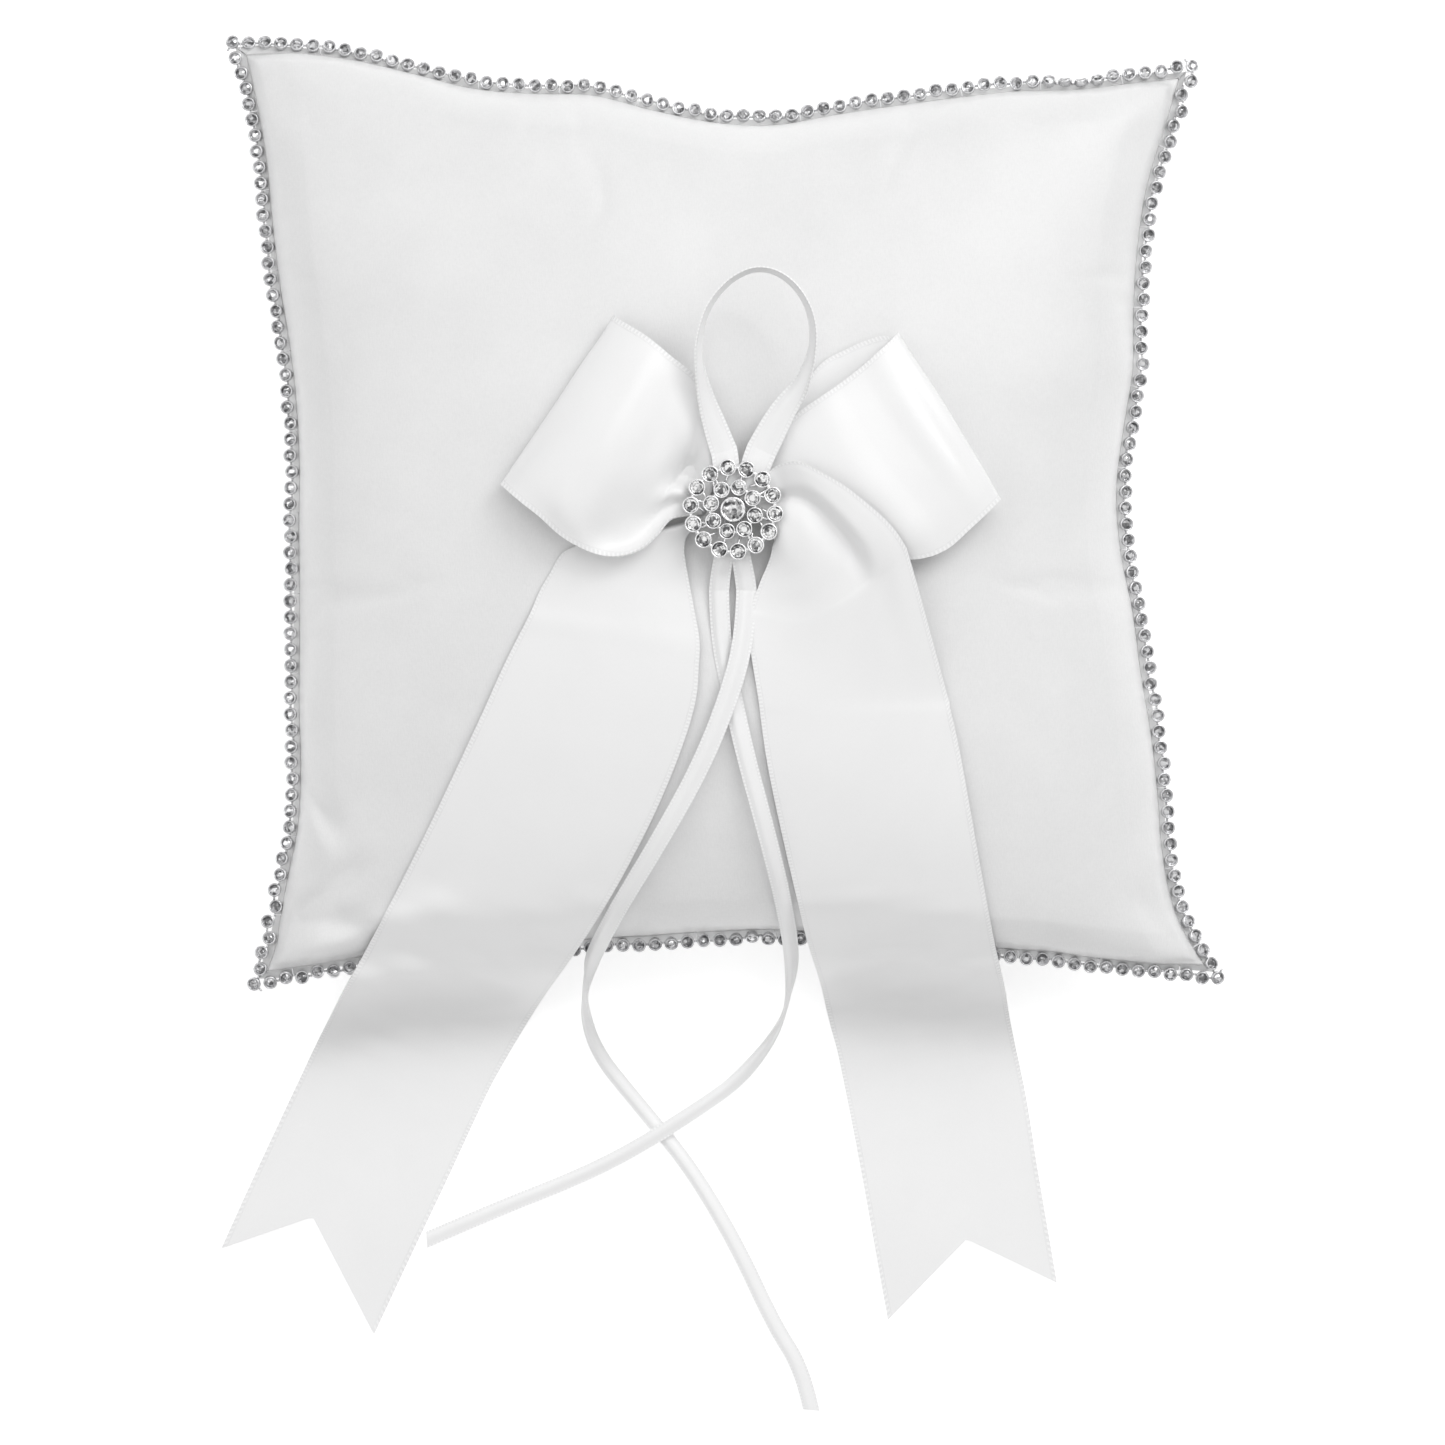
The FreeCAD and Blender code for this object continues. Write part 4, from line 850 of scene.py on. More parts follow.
LEFT_OVER = [
    [(-47.53, 6.16, 56.2), (-44.37, 10.74, 56.8), (-40.8, 15.95, 57.2), (-37.24, 21.17, 57.4), (-33.9, 26.18, 57.4), (-30.35, 31.63, 57.2), (-26.8, 36.67, 56.8), (-23.88, 41.31, 56.2)],
    [(-46, 4.62, 58.2), (-42.62, 9.8, 59.4), (-39.06, 15.21, 60), (-35.71, 20.42, 60.2), (-32.38, 25.43, 60.1), (-28.84, 30.67, 59.7), (-25.51, 35.92, 59), (-22.6, 40.36, 58.2)],
    [(-43.24, 2.27, 59.8), (-40.06, 7.64, 61.4), (-36.5, 13.24, 62.3), (-32.95, 18.64, 62.6), (-29.83, 23.65, 62.4), (-26.3, 28.89, 61.8), (-22.77, 34.57, 60.8), (-20.07, 38.8, 59.8)],
    [(-39.24, -0.89, 61), (-36.9, 4.26, 62.9), (-33.54, 10.04, 64.1), (-29.99, 15.85, 64.6), (-26.67, 21.48, 64.3), (-23.15, 26.93, 63.4), (-19.83, 32.62, 62.2), (-17.34, 37.06, 61)],
    [(-35.06, -4.66, 61.6), (-33.96, 0.68, 64), (-30.6, 6.47, 65.2), (-26.85, 12.68, 65.8), (-23.53, 18.72, 65.5), (-20.01, 24.59, 64.5), (-16.9, 30.5, 63), (-14.42, 34.74, 61.6)],
    [(-30.89, -7.16, 61.4), (-30.43, -1.8, 63.6), (-27.49, 3.78, 64.8), (-23.53, 10, 65.2), (-20, 16.05, 64.9), (-16.89, 22.12, 63.9), (-13.99, 28.23, 62.5), (-11.71, 32.46, 61.2)],
    [(-26.72, -8.83, 61.6), (-25.89, -4.86, 61), (-23.58, 0.73, 62.4), (-20.02, 7.15, 63.6), (-16.69, 13.19, 63.5), (-13.78, 19.47, 62.8), (-11.29, 25.99, 61.5), (-9.21, 30.62, 60.6)],
    [(-22.34, -9.05, 61.8), (-21.32, -6.28, 59.8), (-19.23, -1.49, 60), (-16.29, 4.3, 61.6), (-13.37, 10.12, 62), (-10.87, 16.6, 61.6), (-8.79, 23.53, 60.6), (-7.13, 28.77, 60)],
    [(-18.17, -7.58, 61.6), (-17.57, -5.02, 59.3), (-16.11, -1.04, 58.8), (-13.8, 3.9, 61.2), (-11.1, 8.97, 59.4), (-8.8, 14.58, 60), (-6.92, 21.05, 60.1), (-5.67, 26.08, 59.6)],
    [(-14.84, -4.65, 61.2), (-14.44, -2.3, 59.2), (-13.4, 1.06, 58.6), (-11.92, 4.52, 61.2), (-9.87, 8.69, 55.6), (-7.56, 12.8, 57.6), (-5.67, 17.94, 59.5), (-4.63, 22.34, 59.2)],
    [(-12.13, -1.5, 60.4), (-11.73, 0.21, 59), (-10.89, 2.31, 58.6), (-9.84, 4.54, 60.8), (-7.99, 7.87, 55), (-6.1, 10.96, 56.4), (-4.63, 14.63, 58.8), (-3.79, 18.18, 58.8)],
    [(-8.8, -0.62, 58.8), (-8.6, 0.44, 58.2), (-8.18, 1.71, 57.9), (-7.34, 2.95, 58.4), (-6.1, 4.48, 56.2), (-4.84, 6.35, 56.6), (-3.79, 8.6, 57.9), (-3.17, 10.68, 58.2)],
    [(-5.47, -0.16, 57.6), (-5.47, 0.26, 57.5), (-5.26, 0.89, 57.4), (-5.05, 1.51, 57.4), (-4.63, 2.15, 57.2), (-4.21, 2.98, 57.3), (-3.79, 3.81, 57.5), (-3.37, 4.64, 57.6)],
]
RIGHT_OVER = [
    [(56.92, 3.04, 55.4), (54.59, 7.21, 56), (51.86, 11.8, 56.4), (48.71, 17.02, 56.6), (45.57, 22.25, 56.6), (42.23, 27.49, 56.4), (38.69, 32.74, 56), (35.56, 37.79, 55.6)],
    [(55.6, 1.53, 57), (52.84, 6.09, 58.2), (49.89, 10.66, 58.8), (46.54, 15.67, 59), (43.2, 20.68, 58.9), (39.87, 25.71, 58.5), (36.55, 30.97, 57.8), (33.64, 35.81, 57.2)],
    [(53.46, -0.6, 58.2), (50.48, 4.15, 59.8), (47.32, 8.92, 60.6), (43.77, 13.71, 60.8), (40.23, 18.73, 60.6), (36.91, 23.76, 60), (33.8, 29.03, 59), (31.1, 33.46, 58.2)],
    [(50.1, -3.75, 58.6), (47.13, 1.22, 60), (43.57, 6, 60.6), (39.81, 11.01, 60.6), (36.07, 16.03, 60.2), (32.53, 21.28, 59.6), (29.63, 26.32, 58.9), (27.55, 30.31, 58.4)],
    [(46.34, -7.09, 58.6), (43.16, -1.91, 60.2), (39.18, 3.08, 60.8), (35.01, 8.5, 60.9), (31.05, 13.72, 60.6), (27.72, 19.16, 60.2), (25.23, 23.99, 59.6), (23.77, 27.36, 59.1)],
    [(42.37, -8.97, 58.8), (38.97, -4.23, 61), (34.78, 0.55, 61.7), (30.19, 5.75, 61.9), (26.02, 11.18, 61.6), (23.11, 16.62, 61.1), (21.04, 21.44, 60.6), (19.59, 24.39, 59.9)],
    [(37.57, -9.6, 58.6), (33.77, -5.46, 60.4), (29.58, -1.1, 61), (24.99, 3.69, 61.2), (20.82, 8.91, 60.9), (18.33, 14.14, 60.5), (16.66, 18.75, 60.1), (15.62, 21.69, 59.6)],
    [(31.32, -8.33, 58), (27.95, -5.02, 59.2), (23.77, -1.48, 59.6), (19.17, 2.69, 59.8), (15.63, 7.09, 59.5), (13.75, 11.69, 59.2), (12.71, 15.87, 59.1), (12.29, 18.6, 58.8)],
    [(23.39, -5.59, 57.2), (20.45, -3.31, 58), (17.1, -0.6, 58.2), (13.55, 2.74, 58.2), (10.84, 6.1, 57.9), (9.59, 9.66, 57.6), (9.17, 13.01, 57.6), (9.38, 15.3, 57.8)],
    [(15.03, -2.64, 56.6), (13.15, -1.4, 57), (11.05, 0.48, 57), (8.96, 2.37, 56.8), (7.29, 4.26, 56.6), (6.46, 6.14, 56.6), (6.25, 8.02, 56.8), (6.66, 9.47, 57)],
    [(8.34, -0.34, 56.5), (7.71, 0.28, 56.6), (7.08, 0.91, 56.6), (6.46, 1.75, 56.6), (5.83, 2.59, 56.6), (5.41, 3.21, 56.6), (5.2, 3.84, 56.7), (4.99, 4.46, 56.8)],
]
RIGHT_ROOT = [
    [(4.98, 3.96, 59.4), (5.4, 3.34, 59.2), (5.61, 2.72, 59), (5.82, 2.09, 58.9), (5.82, 1.46, 59.1), (6.02, 0.83, 59.3), (6.02, 0.2, 59.3), (6.02, -0.63, 59.2), (6.03, -1.46, 59)],
    [(8.72, 8.68, 61.6), (9.56, 6.81, 61.3), (10.19, 4.97, 60.3), (10.41, 3.35, 58.7), (10.41, 2.07, 59.6), (10.4, 0.39, 59.9), (10.2, -1.27, 59.8), (9.99, -3.14, 59.4), (9.58, -5.21, 58.6)],
    [(11.62, 10.27, 63.6), (12.67, 8.2, 63.3), (13.09, 5.53, 62.3), (13.32, 3.52, 60.1), (12.9, 2.25, 60.6), (12.48, -0.06, 60.9), (11.86, -2.34, 60.6), (10.82, -5.04, 60), (9.37, -7.08, 58.4)],
    [(14.94, 10.43, 64.8), (15.78, 7.95, 64.5), (16.2, 5.07, 63.5), (16.45, 2.67, 60.5), (15.61, 0.98, 61), (14.77, -1.52, 61.2), (13.73, -4.22, 60.8), (12.07, -7.12, 59.9), (8.96, -8.95, 57.8)],
    [(19.3, 8.34, 65.2), (19.72, 5.65, 64.9), (19.74, 2.77, 63.9), (19.79, 0.17, 60.3), (18.32, -1.72, 60.8), (17.07, -4.44, 61.1), (15.4, -7.14, 60.6), (13.33, -10.03, 59.4), (8.13, -11.23, 57)],
    [(24.3, 5.44, 65), (23.89, 2.53, 64.7), (23.28, -0.56, 63.7), (22.93, -3.15, 59.7), (21.04, -5.04, 60.2), (19.37, -7.55, 60.5), (17.29, -10.25, 60), (14.59, -12.94, 58.8), (7.08, -13.52, 56.5)],
    [(29.09, 1.71, 64.4), (28.06, -1.4, 64.1), (26.62, -4.29, 63.1), (25.65, -6.69, 59.2), (23.56, -8.78, 59.6), (21.26, -11.08, 59.7), (18.55, -13.37, 59.3), (15.01, -15.85, 58.2), (6.25, -15.6, 56.1)],
    [(33.28, -2.01, 63.4), (31.62, -5.12, 63.1), (29.56, -8.01, 62.1), (27.53, -10.45, 59.3), (25.03, -12.53, 59), (22.32, -14.61, 58.8), (18.98, -16.9, 58.4), (15.02, -18.97, 57.4), (5.41, -17.69, 55.9)],
    [(36.44, -6.13, 62), (34.15, -9.25, 61.7), (31.46, -11.94, 60.7), (28.79, -14.2, 59.1), (25.87, -16.28, 58.6), (22.54, -18.36, 58.2), (18.78, -20.23, 57.7), (14.4, -21.89, 56.9), (4.58, -19.99, 55.8)],
    [(38.15, -10.47, 60.4), (35.44, -13.6, 60.1), (32.34, -16.08, 59.1), (29.21, -18.16, 58.6), (25.88, -20.03, 58.1), (22.13, -21.9, 57.6), (18.16, -23.36, 57.1), (13.57, -24.4, 56.5), (3.74, -22.3, 55.8)],
]
LEFT_ROOT = [
    [(-3.38, -1.36, 55.6), (-3.38, -1.15, 55.5), (-3.59, -0.94, 55.4), (-3.59, -0.73, 55.4), (-3.8, -0.52, 55.5), (-4.01, -0.31, 55.6), (-4.01, -0.11, 55.7), (-4.21, 0.1, 55.8), (-4.42, 0.31, 55.9)],
    [(-15.31, -3.44, 55.2), (-13.64, -2.82, 55.4), (-12.17, -2.63, 56.2), (-11.11, -2.66, 57), (-10.27, -2.88, 57.5), (-9.65, -3.29, 57.3), (-9.23, -3.7, 56.9), (-8.82, -4.1, 56.4), (-8.61, -4.51, 56)],
    [(-24.75, -4.88, 54.3), (-21.81, -3.85, 54.8), (-19.08, -3.67, 55.8), (-16.55, -3.91, 56.8), (-14.46, -4.13, 57.5), (-12.78, -4.55, 57.3), (-11.32, -5.16, 56.8), (-10.07, -5.98, 56.2), (-9.24, -7.01, 55.7)],
    [(-31.04, -6.55, 54), (-27.68, -5.72, 54.4), (-24.32, -5.54, 55.2), (-21.16, -5.77, 56.2), (-18.43, -6.21, 57), (-15.71, -6.84, 57.1), (-13.21, -7.66, 56.6), (-11.12, -8.7, 56), (-9.03, -9.73, 55.4)],
    [(-34.82, -8.43, 53.6), (-31.04, -8.02, 54.1), (-27.25, -8.25, 54.9), (-23.68, -8.69, 55.7), (-20.32, -9.33, 56.3), (-17.19, -9.96, 56.4), (-14.05, -11, 56.1), (-11.12, -12.04, 55.6), (-8.4, -13.07, 55.2)],
    [(-37.14, -12.2, 53.3), (-33.14, -12, 53.8), (-29.15, -12.22, 54.5), (-25.16, -12.66, 55.2), (-21.38, -13.29, 55.6), (-17.82, -13.92, 55.7), (-14.26, -14.76, 55.5), (-10.92, -15.59, 55.2), (-7.78, -16.42, 55)],
    [(-39.45, -16.17, 53), (-35.25, -16.18, 53.5), (-31.04, -16.4, 54.1), (-26.84, -16.83, 54.6), (-22.86, -17.26, 55), (-18.87, -17.89, 55.1), (-14.9, -18.51, 55), (-10.92, -19.14, 54.9), (-7.15, -19.77, 54.8)],
]


def swallow_cut(g, outer, notch, inner):
    """Shifts the last rows so that the end is a swallowtail: point, notch, point."""
    n, m = g.shape[:2]
    out = g.copy()
    run = np.concatenate([[0], np.cumsum(np.linalg.norm(np.diff(g[:, m // 2], axis=0), axis=1))])
    total = run[-1]
    for j in range(m):
        w = j / (m - 1.0)
        # plan depth of the cut at this place across
        a, b, c = np.array(outer), np.array(notch), np.array(inner)
        ab, ac = b - a, c - a
        t = float(np.dot(ab, ac) / np.dot(ac, ac))
        if w < t:
            f = w / t
        else:
            f = (1 - w) / (1 - t)
        depth = f * abs(np.cross(ac / np.linalg.norm(ac), ab))
        line = g[:, j]
        r = np.concatenate([[0], np.cumsum(np.linalg.norm(np.diff(line, axis=0), axis=1))])
        # rows keep their places until 40 mm from the end, then close up on the cut
        keep = np.interp(r, [0, r[-1] - 40, r[-1]], [0, r[-1] - 40, r[-1] - depth])
        out[:, j] = np.stack([np.interp(keep, r, line[:, k]) for k in range(3)], 1)
    return out


def tail(outer, inner, root, notch, cut_row, rows, cols=44):
    """Grid of a tail: the root net, then straight rows laid on the cushion, seam and table."""
    o, i_ = np.array(outer), np.array(inner)
    # plan stations below the root net
    net = [np.array(r) for r in root]
    mr = len(root[0])
    laid_o, laid_i = catmull(o[cut_row:], 60), catmull(i_[cut_row:], 60)
    w = np.linspace(0, 1, mr)[None, :, None]
    flat = laid_o[:, None, :] * (1 - w) + laid_i[:, None, :] * w
    z = np.zeros(flat.shape[:2])
    for j in range(mr):
        line = flat[:, j]
        fine = even(line, 150)
        step = float(np.linalg.norm(np.diff(fine, axis=0), axis=1).mean())
        zs = np.array([max(support(x, y), support(x + 1.2, y), support(x - 1.2, y), support(x, y + 1.2), support(x, y - 1.2))
                       for x, y in fine])
        zs = rolled(zs, step, 15.0)
        for _ in range(3):
            zs[1:-1] = (zs[:-2] + 2 * zs[1:-1] + zs[2:]) / 4
        r = np.concatenate([[0], np.cumsum(np.linalg.norm(np.diff(line, axis=0), axis=1))])
        z[:, j] = np.interp(r, np.linspace(0, r[-1], 151), zs) + 0.75
    # a little life across the width: faint cupping and a slow roll of the edges
    s = np.linspace(0, 1, 61)[:, None]
    x = np.linspace(-1, 1, mr)[None, :]
    z = z + 0.30 * np.sin(s * 9.0 + 0.6) * (x ** 2 - 0.3) * fade(s, 0.02, 0.15) + 0.22 * np.sin(s * 15 + x * 2.0) * fade(s, 0.03, 0.2)
    laid = np.concatenate([flat, z[..., None]], 2)
    laid[..., 2] = np.maximum(laid[..., 2], 0.45)
    return net, laid, mr


def build_tail(name, outer, inner, root, notch, cut_row, rows, cols=44):
    net, laid, mr = tail(outer, inner, root, notch, cut_row, rows, cols)
    picked = laid[::2]
    full = np.concatenate([np.stack(net), picked], 0)
    g = smooth_net(full, rows, cols)
    low = np.array([[support(x, y) for x, y in r] for r in g[..., :2]]) + 0.62
    gap = g[..., 2] - low
    g[..., 2] = low + np.where(gap > 2.0, gap, 0.5 * (gap + np.sqrt(gap * gap + 0.16)))
    g = swallow_cut(g, outer[-1], notch, inner[-1])
    return g


g_tail_l = build_tail("l", LEFT_OUT, LEFT_IN, LEFT_ROOT, LEFT_NOTCH, 4, 420)
g_tail_r = build_tail("r", RIGHT_OUT, RIGHT_IN, RIGHT_ROOT, RIGHT_NOTCH, 6, 420)
tail_l = cloth_solid("bow_tail_left_ribbon", g_tail_l, 0.26, MAT_WIDE, 38.0, 1.5)
tail_r = cloth_solid("bow_tail_right_ribbon", g_tail_r, 0.26, MAT_WIDE, 38.0, 1.5)
for ob, body, nodes in ((tail_l, "tail_left", ("bow_tail_left_root", "bow_tail_left")),
                        (tail_r, "tail_right", ("bow_tail_right_root", "bow_tail_right"))):
    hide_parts(*nodes)
    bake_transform(ob)

# ------------------------------------------------------------------ wide ribbon: loops
LEFT_UNDER = [((-5.4, 0.9), (-5.2, 4.6)), ((-13.0, -0.2), (-8.6, 14.5)), ((-22.0, 0.3), (-12.5, 24.5)),
              ((-31.5, 2.0), (-17.2, 32.5)), ((-40.0, 4.2), (-21.0, 37.5)), ((-45.0, 5.4), (-23.3, 39.8))]
RIGHT_UNDER = [((7.4, -0.4), (7.4, 4.4)), ((14.5, -1.2), (12.0, 17.5)), ((24.0, -3.2), (18.2, 30.0)),
               ((34.5, -6.0), (25.0, 34.6)), ((46.5, -3.2), (31.6, 37.2)), ((54.0, 1.6), (34.9, 37.0))]


def under_rows(rows, lift, knot_z, m):
    out = []
    for k, (a, b) in enumerate(rows):
        row = []
        for j in range(m):
            w = j / (m - 1.0)
            x, y = a[0] + (b[0] - a[0]) * w, a[1] + (b[1] - a[1]) * w
            row.append((x, y, knot_z if k == 0 else support(x, y) + lift))
        out.append(row)
    return out


under_l = under_rows(LEFT_UNDER, 1.3, 55.0, 8)
under_r = under_rows(RIGHT_UNDER, 0.9, 55.0, 8)
g_loop_l = smooth_net(under_l + LEFT_OVER, 240, 48)
g_loop_r = smooth_net(under_r + RIGHT_OVER, 240, 48)
loop_l = cloth_solid("bow_loop_left_ribbon", g_loop_l, 0.26, MAT_WIDE, 38.0, 1.5)
loop_r = cloth_solid("bow_loop_right_ribbon", g_loop_r, 0.26, MAT_WIDE, 38.0, 1.5)
for ob, node, g in ((loop_l, "bow_loop_left", g_loop_l), (loop_r, "bow_loop_right", g_loop_r)):
    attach(ob, "pillow")
    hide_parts(node)

# ------------------------------------------------------------------ trim: rhinestone banding
LOOP_PTS = TRIM_LINE
_sides = []
for _side in (catmull(BOTTOM, 90), catmull(RIGHT[::-1], 90), catmull(TOP, 90)[::-1], catmull(LEFT, 90)[::-1]):
    _run = float(np.linalg.norm(np.diff(_side, axis=0), axis=1).sum())
    _sides.append(even(_side, int(round(_run / TRIM_PITCH)))[:-1])
RING = np.vstack(_sides)
BEADS = len(RING)


def revolve(profile, n, phase=0.0, close=False):
    """Verts and quads of a profile (r, z) turned about Z."""
    v, f = [], []
    for k in range(n):
        a = 2 * math.pi * k / n + phase
        for r, z in profile:
            v.append((r * math.cos(a), r * math.sin(a), z))
    m = len(profile)
    for k in range(n):
        k2 = (k + 1) % n
        for i in range(m - 1 if not close else m):
            i2 = (i + 1) % m
            f.append((k * m + i, k2 * m + i, k2 * m + i2, k * m + i2))
    return np.array(v), f


def cap(v, f, n, m, i, up):
    ring = [k * m + i for k in range(n)]
    f.append(tuple(ring if up else ring[::-1]))


def faceted(r, table, height, deep, n=8):
    """A round-cut stone: flat table, star and main facets, girdle, pavilion. Girdle at z 0."""
    v, f = [], []
    for k in range(n):
        a = 2 * math.pi * k / n
        v.append((table * math.cos(a), table * math.sin(a), height))
    for k in range(n):
        a = 2 * math.pi * (k + 0.5) / n
        q = (table + r) / 2 * 1.03
        v.append((q * math.cos(a), q * math.sin(a), height * 0.55))
    for k in range(2 * n):
        a = 2 * math.pi * (k / 2.0) / n
        v.append((r * math.cos(a), r * math.sin(a), 0.0))
    v.append((0, 0, -deep))
    T, S, G, P = 0, n, 2 * n, 4 * n
    f.append(tuple(range(n)))
    for k in range(n):
        k2 = (k + 1) % n
        f.append((T + k, S + k, T + k2))
        f.append((T + k, G + 2 * k, S + k))
        f.append((S + k, G + 2 * k, G + 2 * k + 1))
        f.append((S + k, G + 2 * k + 1, G + (2 * k + 2) % (2 * n)))
        f.append((S + k, G + (2 * k + 2) % (2 * n), T + k2))
    for k in range(2 * n):
        f.append((G + (k + 1) % (2 * n), G + k, P))
    # faces wound outwards
    return np.array(v), f


def oriented(v, f):
    """Winds faces outwards from the middle of a convex shape."""
    c = v.mean(axis=0)
    out = []
    for q in f:
        p = v[list(q)]
        n = np.cross(p[1] - p[0], p[2] - p[0])
        if np.dot(n, p.mean(axis=0) - c) < 0:
            q = tuple(reversed(q))
        out.append(tuple(q))
    return out


class Batch:
    def __init__(self):
        self.v, self.f, self.k = [], [], 0

    def add(self, v, f, mat3, at):
        w = v @ np.asarray(mat3).T + np.asarray(at)
        self.v.append(w)
        self.f += [tuple(i + self.k for i in q) for q in f]
        self.k += len(v)

    def build(self, name, mat, smooth):
        return new_object(name, np.concatenate(self.v), self.f, mat, None, smooth)


def tube(points, r, n=6):
    """Closed tube along a short line of points."""
    p = np.asarray(points, float)
    T = np.gradient(p, axis=0)
    T /= np.linalg.norm(T, axis=1, keepdims=True)
    ref = np.array([0, 0, 1.0]) if abs(T[0][2]) < 0.9 else np.array([1.0, 0, 0])
    v, f = [], []
    for q, t in zip(p, T):
        a = np.cross(t, ref)
        a /= np.linalg.norm(a)
        b = np.cross(t, a)
        for k in range(n):
            th = 2 * math.pi * k / n
            v.append(q + (a * math.cos(th) + b * math.sin(th)) * r)
    for i in range(len(p) - 1):
        for k in range(n):
            f.append((i * n + k, i * n + (k + 1) % n, (i + 1) * n + (k + 1) % n, (i + 1) * n + k))
    f.append(tuple(range(n - 1, -1, -1)))
    f.append(tuple((len(p) - 1) * n + k for k in range(n)))
    return np.array(v), [tuple(q) for q in f]


rnd = random.Random(5)
cup_profile = [(0.30, -1.05), (0.95, -1.05), (1.24, -0.85), (1.44, -0.40), (1.50, 0.05), (1.49, 0.34), (1.42, 0.46),
               (1.27, 0.50), (1.13, 0.42), (1.06, 0.16), (1.03, -0.35), (0.30, -0.40)]
cup_v, cup_f = revolve(cup_profile, 20, 0.0, True)
stone_v, stone_f = faceted(1.05, 0.48, 0.44, 0.40, 8)
stone_f = oriented(stone_v, stone_f)
prong_v, prong_f = revolve([(0.001, 0.22), (0.12, 0.17), (0.17, 0.05), (0.17, -0.25)], 6)
link_v, link_f = tube([(1.30, 0, 0.0), (1.72, 0, 0.02), (2.15, 0, 0.0)], 0.26, 8)


def trim_roll(k, x, y):
    """How far the banding has turned about its own line at each stone, in degrees; + leans outwards."""
    base = 16.0 + 7.0 * math.sin(k * 0.23) + 6.0 * math.sin(k * 0.61 + 1.0)
    if y > 85 and 64 < x < 82:
        base += 62.0 * math.exp(-((x - 74) / 7.0) ** 2)
    if y < -85 and -92 < x < -74:
        base -= 60.0 * math.exp(-((x + 84) / 7.0) ** 2)
    if y < -85 and -16 < x < 24:
        base += 26.0 * math.sin(x * 0.35)
    return base


cups, stones, links, threads, prongs = Batch(), Batch(), Batch(), Batch(), Batch()
centre = RING.mean(axis=0)
for k in range(BEADS):
    x, y = RING[k]
    a, b = RING[k - 1], RING[(k + 1) % BEADS]
    t = (b - a) / np.linalg.norm(b - a)
    T = np.array([t[0], t[1], 0.0])
    out = np.array([t[1], -t[0], 0.0])          # outwards for a line that runs anticlockwise
    z = SEAM_Z - SEAM_DROP * min(1.0, abs(x) / 100.0) ** 3 * min(1.0, abs(y) / 97.0) ** 3 - 0.95
    roll = math.radians(trim_roll(k, x, y))
    up = np.array([0, 0, 1.0]) * math.cos(roll) + out * math.sin(roll)
    side = np.cross(up, T)
    yaw = rnd.uniform(-0.25, 0.25)
    Tj = T * math.cos(yaw * 0.3) + side * math.sin(yaw * 0.3)
    sj = np.cross(up, Tj)
    M = np.stack([Tj, sj, up], 1)
    at = np.array([x, y, z + 1.05]) + out * rnd.uniform(-0.22, 0.28) + np.array([0, 0, rnd.uniform(-0.15, 0.2)])
    # the banding buckles and doubles back where it was gathered into the corners
    crowd = math.exp(-((x + 100) / 9.0) ** 2 - ((y + 88) / 11.0) ** 2) + 0.7 * math.exp(-((x - 98) / 7.0) ** 2 - ((y - 90) / 9.0) ** 2)
    at = at + out * (0.75 if k % 2 else -0.35) * crowd + np.array([0, 0, 0.5 if k % 2 else 0.0]) * crowd
    spin = rnd.uniform(0, 2 * math.pi)
    c, s = math.cos(spin), math.sin(spin)
    Rz = np.array([[c, -s, 0], [s, c, 0], [0, 0, 1]])
    cups.add(cup_v, cup_f, M, at)
    tilt = Matrix.Rotation(rnd.uniform(-0.10, 0.10), 3, "X") @ Matrix.Rotation(rnd.uniform(-0.10, 0.10), 3, "Y")
    stones.add(stone_v, stone_f, M @ np.array(tilt) @ Rz, at + up * 0.10)
    for q in range(4):
        th = math.pi / 4 + q * math.pi / 2
        d = M @ np.array([math.cos(th) * 1.16, math.sin(th) * 1.16, 0.0])
        prongs.add(prong_v, prong_f, M, at + d + up * 0.36)
    links.add(link_v, link_f, M, at + up * -0.45)
    if k % 5 == 2:
        # thread over the link and into the satin edge
        j = at + T * (TRIM_PITCH / 2)
        pts = []
        for q in range(9):
            th = math.pi * q / 8
            pts.append(j + (-out) * (0.75 - 0.85 * math.cos(th)) * 1.15 + np.array([0, 0, 1.0]) * (math.sin(th) * 0.85 - 0.30)
                       + T * (0.22 * math.sin(k * 1.7)) * q / 8)
        v, f = tube(pts, 0.13, 6)
        threads.add(v, f, np.eye(3), (0, 0, 0))
trim_cups = cups.build("trim_setting_cups", MAT_TRIM, True)
trim_prongs = prongs.build("trim_setting_prongs", MAT_TRIM, True)
trim_links = links.build("trim_setting_links", MAT_TRIM, True)
trim_stones = stones.build("trim_faceted_stones", MAT_STONE, False)
trim_threads = threads.build("trim_thread_loops", MAT_THREAD, True)
for ob, s in ((trim_cups, "trim_metal"), (trim_prongs, "trim_metal"), (trim_links, "trim_metal"),
              (trim_stones, "trim_crystal"), (trim_threads, "thread")):
    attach(ob, "pillow")
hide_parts("trim_settings")
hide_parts("trim_stones")
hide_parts("trim_stitches")

# ------------------------------------------------------------------ brooch
BROOCH_Z = 60.3
OUTER_RING_R, OUTER_N = 8.8, 14
INNER_RING_R, INNER_N = 4.72, 8
B_C = np.array([KNOT_X, KNOT_Y, 0.0])
metal, gems, dots = Batch(), Batch(), Batch()
ID = np.eye(3)


